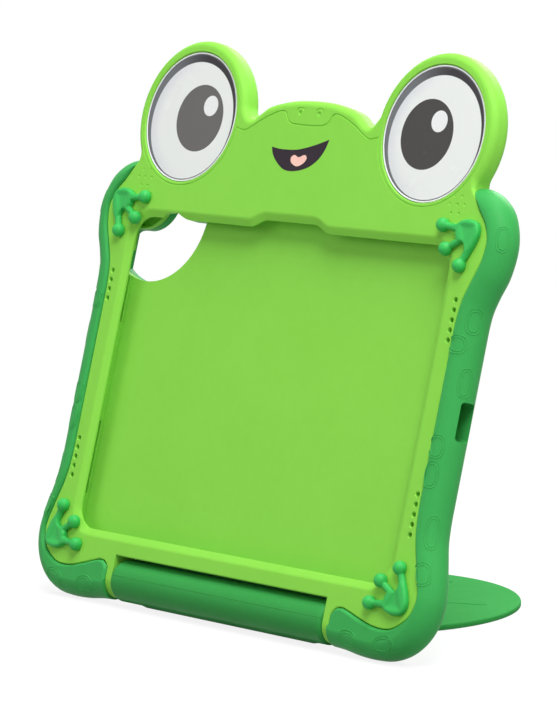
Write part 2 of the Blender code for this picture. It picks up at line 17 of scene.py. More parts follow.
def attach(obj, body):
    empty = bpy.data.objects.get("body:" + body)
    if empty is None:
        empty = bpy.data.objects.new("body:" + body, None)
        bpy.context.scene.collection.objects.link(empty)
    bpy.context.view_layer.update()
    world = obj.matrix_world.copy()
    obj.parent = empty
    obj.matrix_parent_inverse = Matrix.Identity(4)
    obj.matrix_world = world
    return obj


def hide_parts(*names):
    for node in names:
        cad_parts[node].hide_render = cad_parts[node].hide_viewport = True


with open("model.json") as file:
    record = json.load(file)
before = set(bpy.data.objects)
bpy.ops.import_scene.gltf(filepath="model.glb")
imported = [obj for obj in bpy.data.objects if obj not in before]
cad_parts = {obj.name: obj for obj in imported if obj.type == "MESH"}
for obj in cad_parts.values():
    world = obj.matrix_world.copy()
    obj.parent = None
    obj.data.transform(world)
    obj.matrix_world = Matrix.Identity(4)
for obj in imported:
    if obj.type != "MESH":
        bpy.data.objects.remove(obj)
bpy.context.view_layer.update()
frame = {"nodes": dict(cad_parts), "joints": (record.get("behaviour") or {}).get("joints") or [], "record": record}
record = frame["record"]

# %% [markdown]
# ## The leaning panel
#
# The case leans back on its stand, which makes its sizes awkward to write in world
# axes. So each piece is drawn in a flat frame of its own: u to the right, v up the
# screen and w out of it. The record's mount on the tray says where that frame lies,
# and one matrix then carries finished meshes into the world.

# %% The panel's matrix and the hinge axis
MM = 0.001
TRAY_FLOOR_W = -10.3 * MM

seat = next(mount for mount in record["mounts"] if mount["name"] == "tablet_seat")
OUT = Vector(seat["axis"]).normalized()
RIGHT = Vector((1.0, 0.0, 0.0))
UP = OUT.cross(RIGHT)
MIDDLE = Vector(seat["pos_m"]) - OUT * TRAY_FLOOR_W
PANEL = Matrix.Translation(MIDDLE) @ Matrix((RIGHT, UP, OUT)).transposed().to_4x4()
LEAN = math.asin(OUT.z)
HINGE = Vector(frame["joints"][0]["pos_m"])
AXIS = PANEL.inverted() @ HINGE
AXIS_V, AXIS_W = AXIS.y, AXIS.z
print("Leans back by", round(math.degrees(LEAN), 2), "degrees; hinge axis at v",
      round(AXIS_V / MM, 2), "and w", round(AXIS_W / MM, 2), "mm")

# %% [markdown]
# ## The camera
#
# A product photograph like this is taken from far away with a long lens, so parallel
# edges stay nearly parallel. The place was worked out from the corners of the screen.

# %% Place the camera
CAMERA_AT = Vector((1.46030, -1.37911, 0.38144))
CAMERA_AHEAD = Vector((-0.7334, 0.6687, -0.1221)).normalized()
FOCAL_MM = 199.66
SENSOR_MM = 36.0

lens = bpy.data.cameras.new("camera")
lens.sensor_fit = "AUTO"
lens.sensor_width = SENSOR_MM
lens.lens = FOCAL_MM
camera = bpy.data.objects.new("camera", lens)
camera.location = CAMERA_AT
camera.rotation_euler = CAMERA_AHEAD.to_track_quat("-Z", "Y").to_euler()
bpy.context.scene.collection.objects.link(camera)
bpy.context.scene.camera = camera
print("Camera", round((CAMERA_AT - MIDDLE).length, 3), "m from the screen")

# %% [markdown]
# ## Shader maths as plain Python
#
# A node tree is a formula with wires. Wrapping a socket in a small class lets Python's
# operators add the Math nodes, so that a mask reads as 1 - ring * fade. Any other node
# comes from one method, which takes its settings first and then its inputs.

# %% A socket that can be calculated with
class Wire:
    """An output socket on which Python's operators add Math nodes."""

    def __init__(self, tree, socket):
        self.tree = tree
        self.socket = socket

    def node(self, kind, settings, values, output=0):
        made = self.tree.nodes.new(kind)
        for name, value in settings.items():
            if name == "stops":
                stops = made.color_ramp.elements
                stops[0].position, stops[0].color = value[0]
                stops[1].position, stops[1].color = value[-1]
                for place, shade in value[1:-1]:
                    stops.new(place).color = shade
            else:
                setattr(made, name, value)
        for name, value in values.items():
            if isinstance(value, Wire):
                self.tree.links.new(value.socket, made.inputs[name])
            else:
                made.inputs[name].default_value = value
        return Wire(self.tree, made.outputs[output])

    def maths(self, operation, *values):
        return self.node("ShaderNodeMath", {"operation": operation}, dict(enumerate(values)))

    def __add__(self, other):
        return self.maths("ADD", self, other)

    def __radd__(self, other):
        return self.maths("ADD", other, self)

    def __sub__(self, other):
        return self.maths("SUBTRACT", self, other)

    def __rsub__(self, other):
        return self.maths("SUBTRACT", other, self)

    def __mul__(self, other):
        return self.maths("MULTIPLY", self, other)

    def __rmul__(self, other):
        return self.maths("MULTIPLY", other, self)

    def __pow__(self, other):
        return self.maths("POWER", self, other)


# %% Colours, masks and a material to start from
def colour(red, green, blue):
    """A linear colour from sRGB values of 0 to 255."""
    shares = [value / 255 for value in (red, green, blue)]
    return (*[share / 12.92 if share < 0.04045 else ((share + 0.055) / 1.055) ** 2.4
              for share in shares], 1.0)


def mixed(factor, low, high):
    """Colour low where the factor is 0, and high where it is 1."""
    return factor.node("ShaderNodeMix", {"data_type": "RGBA"},
                       {0: factor, 6: low, 7: high}, output=2)


def step(value, edge, soft):
    """0 below the edge and 1 above it, with a soft change between."""
    return value.node("ShaderNodeMapRange", {"interpolation_type": "SMOOTHSTEP"},
                      {"Value": value, "From Min": edge - soft, "From Max": edge + soft})


def noise(place, size, detail=2.0):
    """Cloudy values of 0 to 1, whose spots are about that size."""
    return place.node("ShaderNodeTexNoise", {}, {"Vector": place, "Scale": 1.0 / size,
                                                 "Detail": detail, "Roughness": 0.55})


def fresh_material(name, **constants):
    """A Principled material, with the piece's own coordinates as a first wire."""
    material = bpy.data.materials.new(name)
    material.use_nodes = True
    tree = material.node_tree
    shader = tree.nodes["Principled BSDF"]
    for socket, value in constants.items():
        shader.inputs[socket.replace("_", " ")].default_value = value
    source = tree.nodes.new("ShaderNodeTexCoord")
    return material, shader, Wire(tree, source.outputs["Object"])


def feed(shader, **wires):
    """Links each wire to the shader's socket of that name."""
    for socket, wire in wires.items():
        wire.tree.links.new(wire.socket, shader.inputs[socket.replace("_", " ")])


def bumped(height, distance, strength=1.0):
    return height.node("ShaderNodeBump", {}, {"Height": height, "Distance": distance,
                                              "Strength": strength})


# %% [markdown]
# ## Moulded rubber
#
# Soft rubber from a blasted mould is matt with a fine grain, and never quite one
# colour: the pigment drifts in wide clouds as the rubber flows, and the skin is a
# touch shinier where the mould is worn. Three noises of different sizes give that.

# %% The two rubbers, the paws and the stand
def moulded_rubber(name, main, deep, roughness, grain_size, grain_depth, gloss=0.12,
                   matt_below=-1.0):
    """Matt rubber or plastic. Below a height it is more matt still, like a worn sole."""
    material, shader, place = fresh_material(name, Specular_IOR_Level=gloss)
    clouds = noise(place, 45 * MM, 3.0)
    flow = noise(place, 6 * MM)
    grain = noise(place, grain_size, 1.0)
    height = place.node("ShaderNodeSeparateXYZ", {}, {"Vector": place}, output=2)
    sole = 1.0 - step(height, matt_below, 1.0 * MM)
    drift = (clouds - 0.5) * 0.5 + (flow - 0.5) * 0.3 + (grain - 0.5) * 0.2 + 0.4
    feed(shader,
         Base_Color=mixed(drift, main, deep),
         Roughness=(clouds - 0.5) * 0.12 + (flow - 0.5) * 0.08 + (grain - 0.5) * 0.14
         + sole * 0.4 + roughness,
         Normal=bumped(grain + flow * 1.5, grain_depth, 0.7))
    return material


LIME = moulded_rubber("frog_lime_rubber", colour(141, 216, 80), colour(129, 205, 68), 0.52,
                      0.45 * MM, 0.03 * MM)
GREEN = moulded_rubber("bumper_green_rubber", colour(63, 169, 85), colour(51, 154, 71), 0.5,
                       0.5 * MM, 0.04 * MM)
PAW = moulded_rubber("paw_soft_rubber", colour(56, 186, 86), colour(44, 168, 72), 0.48,
                     0.6 * MM, 0.012 * MM, gloss=0.25)
STAND = moulded_rubber("stand_green_plastic", colour(57, 154, 74), colour(47, 140, 62), 0.42,
                       0.3 * MM, 0.02 * MM, gloss=0.08, matt_below=4.5 * MM)
print("Rubbers:", LIME.name, GREEN.name, PAW.name, STAND.name)

# %% [markdown]
# ## Printed eyes
#
# The eyes are printed plastic discs with fine upright ribs, which make the lid seem
# to move. The print is flat colour: a white ball, a dark lid that is what a slightly
# smaller circle leaves over, a pupil and a glint. Light and shade are painted over
# it: the lid runs from painted light grey on its left to dark on its right, and
# painted shade greys the ball's left side next to the lid. Each is a distance from
# a centre, worked out in the panel's own millimetres, so the edges stay sharp at any zoom.

# %% The print of one eye
EYE_U = 91.1 * MM
EYE_V = 139.05 * MM
EYE_DISC_R = 34.9 * MM
EYE_RING = 0.9 * MM
RIB_PITCH = 0.5 * MM
LID_OFFSET = (0.8 * MM, -2.0 * MM)
LID_R = 31.7 * MM
PUPIL_R = 18.0 * MM
GLINT_R = 5.5 * MM
GLINT_OFFSET = (7.0 * MM, 6.9 * MM)


def distance(across, height, centre):
    """Distance of a point from a centre, from the wires of its two coordinates."""
    return ((across - centre[0]) ** 2.0 + (height - centre[1]) ** 2.0) ** 0.5


def eye_print(name, side, pupil, iris):
    material, shader, place = fresh_material(name, Specular_IOR_Level=0.15)
    home = (PANEL @ Matrix.Translation((side * EYE_U, EYE_V, 0.0))).inverted()
    local = place.node("ShaderNodeMapping", {}, {"Vector": place, "Location": home.translation,
                                                 "Rotation": home.to_euler()})
    across = local.node("ShaderNodeSeparateXYZ", {}, {"Vector": local}, output=0)
    height = local.node("ShaderNodeSeparateXYZ", {}, {"Vector": local}, output=1)
    blur = 0.12 * MM
    radius = distance(across, height, (0.0, 0.0))
    lid = step(distance(across, height, LID_OFFSET), LID_R, 0.2 * MM)
    # Painted light and shade: the printed lid is painted light grey on its left and dark on its right
    painted_lid_shading = step(across, -10 * MM, 16 * MM)
    # Painted shade: the hollow mask greys the white ball towards the lid's edge, on the left side only
    hollow = step(distance(across, height, LID_OFFSET), LID_R - 4 * MM, 5 * MM)
    ball = mixed(hollow * (1.0 - painted_lid_shading), colour(229, 232, 229), colour(214, 216, 219))
    dark_lid = mixed(painted_lid_shading, colour(108, 111, 114), colour(52, 48, 52))
    painted = mixed(lid, ball, dark_lid)
    pupil_mask = 1.0 - step(distance(across, height, pupil), PUPIL_R, blur)
    painted = mixed(pupil_mask, painted, iris)
    glint = (pupil[0] + GLINT_OFFSET[0], pupil[1] + GLINT_OFFSET[1])
    glint_mask = 1.0 - step(distance(across, height, glint), GLINT_R, blur)
    painted = mixed(glint_mask, painted, colour(232, 233, 232))
    inner = EYE_DISC_R - EYE_RING
    line = step(radius, inner - 0.6 * MM, blur) * (1.0 - step(radius, inner, blur))
    painted = mixed(line, painted, colour(92, 92, 100))
    ring = step(radius, inner, blur)
    painted = mixed(ring, painted, colour(236, 238, 236))
    wave = across * (math.tau / RIB_PITCH)
    ribs = wave.maths("SINE", wave)
    clouds = noise(place, 14 * MM)
    feed(shader, Base_Color=painted, Roughness=(clouds - 0.5) * 0.1 + ring * 0.1 + 0.26,
         Normal=bumped(ribs * (1.0 - ring), 0.012 * MM, 0.5))
    return material


# Both pupils are one print; the left one is painted lighter grey than the right, as painted light on that disc
EYE_PRINTS = {
    -1: eye_print("left_eye_print", -1, (6.8 * MM, -0.4 * MM), colour(101, 99, 97)),
    1: eye_print("right_eye_print", 1, (-4.7 * MM, -0.5 * MM), colour(64, 62, 61))}
print("Eye prints:", [material.name for material in EYE_PRINTS.values()])

# %% [markdown]
# ## Mouth inks and the hinge's metal
#
# The mouth is two coats of glossy ink on the rubber, which pick up a little of its
# grain. The hinge inside the bar is turned steel in a grey moulded block: it hardly
# shows, but a turned shaft still gets fine rings round its own axis.

# %% Ink, steel and grey plastic
def ink(name, main, edge):
    material, shader, place = fresh_material(name, Specular_IOR_Level=0.15)
    mottle = noise(place, 5 * MM, 3.0)
    grain = noise(place, 0.45 * MM, 1.0)
    feed(shader, Base_Color=mixed(mottle, main, edge),
         Roughness=(mottle - 0.5) * 0.15 + 0.34,
         Normal=bumped(grain, 0.015 * MM, 0.5))
    return material


def brushed_steel(name):
    material, shader, place = fresh_material(name, Metallic=1.0)
    stretched = place.node("ShaderNodeMapping", {}, {"Vector": place,
                                                     "Scale": (1.0, 0.03, 0.03)})
    rings = noise(stretched, 0.15 * MM, 2.0)
    feed(shader, Base_Color=mixed(rings, colour(150, 151, 154), colour(186, 187, 190)),
         Roughness=(rings - 0.5) * 0.2 + 0.32, Normal=bumped(rings, 0.01 * MM, 0.6))
    return material


MOUTH_INK = ink("mouth_ink", colour(44, 28, 42), colour(30, 20, 30))
TONGUE_INK = ink("tongue_ink", colour(252, 208, 190), colour(246, 190, 180))
STEEL = brushed_steel("brushed_steel")
GREY = moulded_rubber("anchor_grey_plastic", colour(98, 100, 102), colour(82, 84, 86), 0.45,
                      0.35 * MM, 0.02 * MM)
print("Inks and hinge finishes:", MOUTH_INK.name, TONGUE_INK.name, STEEL.name, GREY.name)

# %% [markdown]
# ## Curves and outlines
#
# The frog's outline is drawn once, as the right half, from the tablet's corner
# outwards: round stretches are arcs, and the wavy seam is a smooth curve through a few
# listed points. Everything else is that outline moved in or out.

# %% Arcs, smooth curves and offsets
TABLET_W = 248.6 * MM
TABLET_H = 179.5 * MM
HALF_W = TABLET_W / 2
HALF_H = TABLET_H / 2


def arc(centre, radius, start, end, steps):
    turns = [math.radians(start + (end - start) * k / steps) for k in range(steps + 1)]
    return [(centre[0] + radius * math.cos(turn), centre[1] + radius * math.sin(turn))
            for turn in turns]


def circle(centre, radius, sides):
    return arc(centre, radius, 0, 360 - 360 / sides, sides - 1)


def curve(points, steps=8):
    """A smooth curve through the points, in short cubic pieces from one to the next."""
    ends = [points[0], *points, points[-1]]
    line = []
    for a, b, c, d in zip(ends, ends[1:], ends[2:], ends[3:]):
        for k in range(steps):
            t = k / steps
            line.append(tuple(
                0.5 * (2 * q + (r - p) * t + (2 * p - 5 * q + 4 * r - s) * t ** 2
                       + (3 * q - p - 3 * r + s) * t ** 3)
                for p, q, r, s in zip(a, b, c, d)))
    line.append(tuple(points[-1]))
    return line


def closed_curve(points, steps=8):
    """The same through a closed loop of points."""
    loop = [points[-1], *points, points[0], points[1]]
    whole = curve(loop, steps)
    return whole[steps:-steps][:len(points) * steps]


def in_mm(points):
    return [(u * MM, v * MM) for u, v in points]


def from_corner(offsets, side):
    """Points whose places in mm count from the tablet's right upper or lower corner."""
    return [(HALF_W + du * MM, side * (HALF_H + dv * MM)) for du, dv in offsets]


def mirrored(half):
    return [*half, *[(-u, v) for u, v in reversed(half[1:-1])]]


def normals(outline):
    """Outward direction at each point of an outline that runs clockwise."""
    count = len(outline)
    result = []
    for k, here in enumerate(outline):
        before = Vector(here) - Vector(outline[k - 1])
        after = Vector(outline[(k + 1) % count]) - Vector(here)
        first = Vector((-before.y, before.x)).normalized()
        second = Vector((-after.y, after.x)).normalized()
        middle = (first + second).normalized()
        result.append(middle / max(0.6, middle.dot(first)))
    return result


def inset(outline, distances):
    return [(u - n.x * d, v - n.y * d)
            for (u, v), n, d in zip(outline, normals(outline), distances)]


def outset(outline, amount):
    return inset(outline, [-amount] * len(outline))


def rounded_box(half_u, half_v, radius, steps=12):
    line = []
    for side_u, side_v, start in ((1, 1, 90), (1, -1, 0), (-1, -1, -90), (-1, 1, -180)):
        centre = (side_u * (half_u - radius), side_v * (half_v - radius))
        line.extend(arc(centre, radius, start, start - 90, steps))
    return line


# %% The head, the seam and the bumper as outlines
EYE_RIM_R = 41.5 * MM
EYE_RIM_TURNS = (170, -34)
BROW_V = HALF_H + 62.4 * MM
BEZEL_V = -(HALF_H + 5.85 * MM)
EAR_IN = 81.0 * MM
EAR_OUT = 85.4 * MM
EAR_ROUND_R = 6.0 * MM
EAR_ROUND_BELOW = 9.5 * MM
BUMPER_TUCK = 4.0 * MM
# Valley between brow and eye as shares of EYE_U and drops in mm: plain, and filleted
VALLEY = ((0.47, 9.0),)
FILLETED = ((0.415, 7.9), (0.465, 11.0), (0.505, 11.0), (0.535, 8.0))
SEAM_TOP = ((2.5, 28.0), (1.8, 25.7), (2.1, 23.0), (4.7, 18.8), (8.7, 13.2), (13.7, 7.6),
            (17.0, 1.2), (17.7, -4.3), (16.3, -12.3), (12.7, -21.3), (9.3, -29.8),
            (7.7, -37.8), (7.1, -46.0))
SEAM_BOTTOM = ((7.1, -46.0), (7.9, -35.8), (9.8, -26.8), (13.7, -15.3), (16.7, -5.8),
               (17.0, 0.3), (14.2, 7.3), (8.2, 12.5), (1.2, 15.3), (-8.3, 15.2),
               (-18.3, 12.9), (-25.7, 10.7), (-31.8, 9.1))
BUMPER_TOP = ((-0.3, 24.9), (6.7, 24.9), (14.2, 22.3), (21.2, 16.8), (25.7, 9.3),
              (28.2, 0.8), (28.4, -7.8), (26.5, -18.3), (22.5, -27.8), (19.9, -36.0),
              (19.2, -45.0))
BUMPER_BOTTOM = ((19.2, -43.0), (20.0, -31.8), (22.6, -20.8), (25.3, -9.8), (26.3, 0.3),
                 (24.3, 10.3), (19.3, 19.1), (11.7, 25.9), (2.2, 29.9), (-8.3, 31.0),
                 (-19.3, 30.7), (-30.3, 29.4), (-38.3, 28.9))


def head_half(shrink=0.0, valley=VALLEY):
    """Brow and eye rim, with the valley between them."""
    steps = ((0.0, 0.0), (0.17, 0.8), (0.34, 4.0), *valley)
    brow = [(EYE_U * share, BROW_V - drop * MM - shrink) for share, drop in steps]
    eye = arc((EYE_U, EYE_V), EYE_RIM_R - shrink, *EYE_RIM_TURNS, 68)
    return curve(brow) + eye


def shell_half():
    """Edge of the lime shell. Two points of the eye rim make way for the saddle's fillet."""
    seam = curve(from_corner(SEAM_TOP, 1)) + curve(from_corner(SEAM_BOTTOM, -1))[1:]
    ear_round = arc((EAR_OUT + EAR_ROUND_R, BEZEL_V - EAR_ROUND_BELOW), EAR_ROUND_R, 80, 180, 10)
    ear = [(EAR_OUT, AXIS_V), (EAR_IN, AXIS_V), (EAR_IN, BEZEL_V), (0.0, BEZEL_V)]
    return head_half(valley=FILLETED)[:-2] + seam + ear_round + ear


def bumper_half():
    """Edge of the bumper, tucked in behind the head until its shoulder comes out."""
    head = head_half(shrink=BUMPER_TUCK)[:-8]
    side = curve(from_corner(BUMPER_TOP, 1))[:-1] + curve(from_corner(BUMPER_BOTTOM, -1))
    return head + side + [(0.0, side[-1][1])]


SHELL_EDGE = mirrored(shell_half())
BUMPER_EDGE = mirrored(bumper_half())
print("Inner shell outline:", len(SHELL_EDGE), "points; bumper:", len(BUMPER_EDGE))

# %% [markdown]
# ## Solids from rings
#
# A moulding like this is a loft: the same outline repeated at several depths, each
# time a little smaller, so that its edge turns round. In bmesh that is one ring of
# edges, extruded again and again, with every new ring moved to its own place. The two
# open ends are then filled. Openings are cut afterwards, as a mould's cores would.

# %% Rings, lofts and cuts
def first_ring(shape, places):
    """A closed ring of vertices and edges to start a loft from."""
    ring = [shape.verts.new(place) for place in places]
    for here, there in zip(ring, ring[1:] + ring[:1]):
        shape.edges.new((here, there))
    return ring


def next_ring(shape, ring, places):
    """Extrudes the ring's edges and moves the new ring to its places."""
    edges = [shape.edges.get(pair) for pair in zip(ring, ring[1:] + ring[:1])]
    made = set(bmesh.ops.extrude_edge_only(shape, edges=edges)["geom"])
    moved = []
    for vertex, place in zip(ring, places):
        partner = next(edge.other_vert(vertex) for edge in vertex.link_edges
                       if edge.other_vert(vertex) in made)
        partner.co = place
        moved.append(partner)
    return moved


def solid(shape, name):
    """Turns a bmesh into an object of the scene, with its faces outwards."""
    bmesh.ops.recalc_face_normals(shape, faces=shape.faces)
    data = bpy.data.meshes.new(name)
    shape.to_mesh(data)
    shape.free()
    item = bpy.data.objects.new(name, data)
    bpy.context.scene.collection.objects.link(item)
    return item


def fill_ends(shape):
    rim = [edge for edge in shape.edges if edge.is_boundary]
    bmesh.ops.holes_fill(shape, edges=rim, sides=0)


def loft(name, rings):
    shape = bmesh.new()
    ring = first_ring(shape, rings[0])
    for places in rings[1:]:
        ring = next_ring(shape, ring, places)
    fill_ends(shape)
    return solid(shape, name)


def level(outline, w):
    return [Vector((u, v, w)) for u, v in outline]


def prism(name, outline, low, high):
    return loft(name, [level(outline, low), level(outline, high)])


def turned(name, centre, steps, sides=192):
    """A round solid that stands on the panel, from pairs of radius and w."""
    return loft(name, [level(circle(centre, radius, sides), w) for radius, w in steps])


def along_u(name, profile, start, end):
    """A prism of a (v, w) profile that runs along u."""
    return loft(name, [[Vector((u, v, w)) for v, w in profile] for u in (start, end)])


def box(name, u, v, w):
    return prism(name, ((u[0], v[0]), (u[1], v[0]), (u[1], v[1]), (u[0], v[1])), *w)


def apply_modifiers(item):
    graph = bpy.context.evaluated_depsgraph_get()
    item.data = bpy.data.meshes.new_from_object(item.evaluated_get(graph))
    item.modifiers.clear()


def combined(item, operation, tools):
    """Applies one Boolean with each tool in turn, and drops the tools."""
    for tool in tools:
        change = item.modifiers.new(operation, "BOOLEAN")
        change.object = tool
        change.operation = operation
        change.solver = "EXACT"
        apply_modifiers(item)
        bpy.data.objects.remove(tool, do_unlink=True)
    return item


def cut(item, *tools):
    return combined(item, "DIFFERENCE", tools)


def add(item, *tools):
    return combined(item, "UNION", tools)


def together(name, items):
    """One mesh of several solids that stand apart."""
    shape = bmesh.new()
    for item in items:
        shape.from_mesh(item.data)
        bpy.data.objects.remove(item, do_unlink=True)
    return solid(shape, name)


# %% Tubes along a path, and the last step of every piece
def tube(name, path, radius, closed=False, sides=8):
    """A round bar along a path of 3-D points, whose ends are filled or joined."""
    shape = bmesh.new()
    rings = []
    count = len(path)
    for k, here in enumerate(path):
        before = path[k - 1] if closed or k else here
        after = path[(k + 1) % count] if closed or k < count - 1 else here
        ahead = (Vector(after) - Vector(before)).normalized()
        side = ahead.cross(Vector((0.0, 0.0, 1.0))).normalized()
        lift = side.cross(ahead)
        rings.append([Vector(here) + side * (radius * math.cos(math.tau * j / sides))
                      + lift * (radius * math.sin(math.tau * j / sides))
                      for j in range(sides)])
    ring = first_ring(shape, rings[0])
    for places in rings[1:]:
        ring = next_ring(shape, ring, places)
    if closed:
        rim = [edge for edge in shape.edges if edge.is_boundary]
        bmesh.ops.bridge_loops(shape, edges=rim)
    else:
        fill_ends(shape)
    return solid(shape, name)


def finished(item, name, material, body, stands_for=(), sharp=38.0, place=PANEL):
    """Puts a piece in the world with even shading, hangs it on its body and hides the imported parts it stands
    for.
    """
    item.name = name
    item.data.materials.clear()
    item.data.materials.append(material)
    item.data.transform(place)
    item.data.shade_smooth()
    item.data.set_sharp_from_angle(angle=math.radians(sharp))
    even = item.modifiers.new("even shading", "WEIGHTED_NORMAL")
    even.keep_sharp = True
    apply_modifiers(item)
    item.data.name = name
    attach(item, body)
    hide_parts(*stands_for)
    print(name, "has", len(item.data.polygons), "faces")
    return item


# %% [markdown]
# ## The inner shell
#
# The lime shell is one moulding: the frog's head, the lip that holds the tablet, the
# tray behind it and two ears for the bar. Its free edge round the head is thick and
# well rounded, while along the bumper it only has a small radius, which catches a thin
# bright line. So each point of the outline carries its own radius, faded between them.

# %% Body of the inner shell
LIP_T = 3.0 * MM
TRAY_T = 3.0 * MM
SHELL_BACK_W = TRAY_FLOOR_W - TRAY_T
HEAD_FRONT_R = 4.0 * MM
HEAD_BACK_R = 6.0 * MM
SEAM_R = 0.8 * MM
HEAD_FADE_FROM = HALF_H + 21.0 * MM
HEAD_FADE = 8.0 * MM
EAR_R = 10.0 * MM
EAR_ROOT = 1.5 * MM
FIT = 0.3 * MM


def quarter(steps):
    return [math.radians(90 * k / steps) for k in range(steps + 1)]


def head_share(outline):
    """1 on the head's free edge, 0 along the seam, and a short fade between them."""
    return [min(1.0, max(0.0, (v - HEAD_FADE_FROM) / HEAD_FADE)) for _, v in outline]


def rounded_rim(outline, radii, w, inwards):
    """Rings of a quarter round whose radius is given for each point, from a face at w."""
    rings = []
    for turn in quarter(8):
        moved = inset(outline, [radius * (1 - math.sin(turn)) for radius in radii])
        rings.append([Vector((u, v, w + inwards * radius * (1 - math.cos(turn))))
                      for (u, v), radius in zip(moved, radii)])
    return rings


def inner_shell_body():
    share = head_share(SHELL_EDGE)
    front = [SEAM_R + (HEAD_FRONT_R - SEAM_R) * part for part in share]
    back = [FIT + (HEAD_BACK_R - FIT) * part for part in share]
    return loft("inner_shell_body", [*rounded_rim(SHELL_EDGE, front, 0.0, -1),
                                     *rounded_rim(SHELL_EDGE, back, SHELL_BACK_W, 1)[::-1]])


def ear(side):
    """Round lug beside the bar's end, flush with the face."""
    round_end = [(v, AXIS_W + (w - AXIS_W) * abs(AXIS_W) / EAR_R)
                 for w, v in arc((AXIS_W, AXIS_V), EAR_R, 0, -180, 40)]
    profile = [(BEZEL_V + EAR_ROOT, 0.0), *round_end, (BEZEL_V - FIT, 2 * AXIS_W),
               (BEZEL_V - FIT, SHELL_BACK_W), (BEZEL_V + EAR_ROOT, SHELL_BACK_W)]
    return along_u("ear", profile, side * EAR_IN, side * EAR_OUT)


inner_shell = add(inner_shell_body(), ear(-1), ear(1))
print("Inner shell before its openings:", len(inner_shell.data.polygons), "faces")

# %% [markdown]
# ## The screen opening
#
# The lip is bevelled towards the glass, and a shallow notch in its upper edge leaves
# room for the front camera. One outline does both: it is cut at each depth, wider
# towards the front, and its last few rings turn outwards to leave a rounded edge.

# %% Lip, tray and the hollow for the tablet
TABLET_CORNER_R = 12.0 * MM
LIP_REACH = 5.8 * MM
LIP_REACH_TOP = 5.5 * MM
LIP_BEVEL_W = 3.7 * MM
LIP_BEVEL_T = 2.0 * MM
NOTCH_HALF = 20.0 * MM
NOTCH_SLOPE = 8.0 * MM
NOTCH_RISE = 4.1 * MM
NOTCH_ROUND = 3.0 * MM
EDGE_R = 0.9 * MM


def opening_outline():
    """Clockwise edge of the glass, with the notch in the middle of its upper side."""
    half_u = HALF_W - LIP_REACH
    half_v = HALF_H - LIP_REACH_TOP
    corners = [Vector(place) for place in (
        (-half_u, half_v), (-NOTCH_HALF - NOTCH_SLOPE, half_v),
        (-NOTCH_HALF, half_v + NOTCH_RISE), (NOTCH_HALF, half_v + NOTCH_RISE),
        (NOTCH_HALF + NOTCH_SLOPE, half_v), (half_u, half_v))]
    notch = []
    for before, here, after in zip(corners, corners[1:], corners[2:]):
        start = here + (before - here).normalized() * NOTCH_ROUND
        end = here + (after - here).normalized() * NOTCH_ROUND
        for t in (0.0, 0.25, 0.5, 0.75, 1.0):
            notch.append(tuple(start * (1 - t) ** 2 + here * 2 * t * (1 - t) + end * t ** 2))
    return notch + rounded_box(half_u, half_v, TABLET_CORNER_R)


def screen_opening():
    outline = opening_outline()
    slope = math.atan2(LIP_BEVEL_T, LIP_BEVEL_W)
    flare = EDGE_R * math.tan(slope / 2) * 4
    steps = [(0.0, -LIP_T - 1 * MM), (0.0, -LIP_BEVEL_T)]
    steps += [(LIP_BEVEL_W - flare + flare * 2 * t, -flare * math.tan(slope) * (1 - t) ** 2)
              for t in (0.0, 0.25, 0.5, 0.75)]
    steps += [(LIP_BEVEL_W + flare * 1.1, w) for w in (0.01 * MM, 2 * MM)]
    return loft("opening", [level(outset(outline, out), w) for out, w in steps])


cavity = rounded_box(HALF_W + FIT, HALF_H + FIT, TABLET_CORNER_R)
cut(inner_shell, prism("cavity", cavity, TRAY_FLOOR_W, -LIP_T), screen_opening())
print("Inner shell with its tray:", len(inner_shell.data.polygons), "faces")

# %% [markdown]
# ## Openings for camera, plug and sound
#
# The tray is cut away round the tablet's rear camera, apart from a cover over its
# corner. The port is a slot with round corners through both shells, and the sound of
# the speakers comes out through rows of small holes beside the screen.

# %% The camera opening
CAMERA_U = 12.3 * MM
CAMERA_V = 0.25 * MM
CAMERA_R = 39.0 * MM
CAMERA_UNDER = 9.5 * MM
CAMERA_TOP = HALF_H - 4.3 * MM
COVER_CENTRE = (-(HALF_W - 0.3 * MM), HALF_H + 8.7 * MM)
COVER_R = 20.0 * MM
# The cover's edge runs into the opening's left wall with a fillet, and the lip above
# the opening is cut back a little. Both are points in mm
COVER_END = ((-160.0, 118.4), (-160.0, 72.0), (-136.0, 72.0), (-134.8, 75.2),
             (-133.4, 76.8), (-131.6, 77.9), (-129.0, 78.4))
LIP_RELIEF = ((-75.0, 82.5), (-77.4, 84.2), (-80.5, 84.7), (-83.5, 85.9), (-86.2, 87.3),
              (-90.0, 87.4), (-94.5, 86.8), (-97.5, 85.2), (-99.0, 82.5))
BUMPER_R = 9.7 * MM
BUMPER_W = -8.3 * MM
BUMPER_BACK_W = BUMPER_W - BUMPER_R


def camera_opening():
    """A round cut inside the tray's corner, without the cover over that corner."""
    deep = (BUMPER_BACK_W - 5 * MM, TRAY_FLOOR_W + 1 * MM)
    span = (deep[0] - 1 * MM, deep[1] + 1 * MM)
    centre = (-(HALF_W - CAMERA_U), HALF_H - CAMERA_V)
    wall = -(HALF_W + CAMERA_UNDER)
    low = HALF_H - CAMERA_R - 12 * MM
    far = -HALF_W + 60 * MM
    allowed = [(wall, low), (far, low), (far, CAMERA_TOP), (-HALF_W + 36 * MM, CAMERA_TOP),
               (-HALF_W + 32 * MM, CAMERA_TOP + 1 * MM),
               (-HALF_W + 28 * MM, CAMERA_TOP + 4 * MM), (wall, CAMERA_TOP + 4 * MM)]
    cover = arc(COVER_CENTRE, COVER_R, -90, 90, 64) + in_mm(COVER_END)
    tool = prism("camera", circle(centre, CAMERA_R, 192), *deep)
    combined(tool, "INTERSECT", [prism("allowed", allowed, *span)])
    return cut(tool, prism("cover", cover, *span))


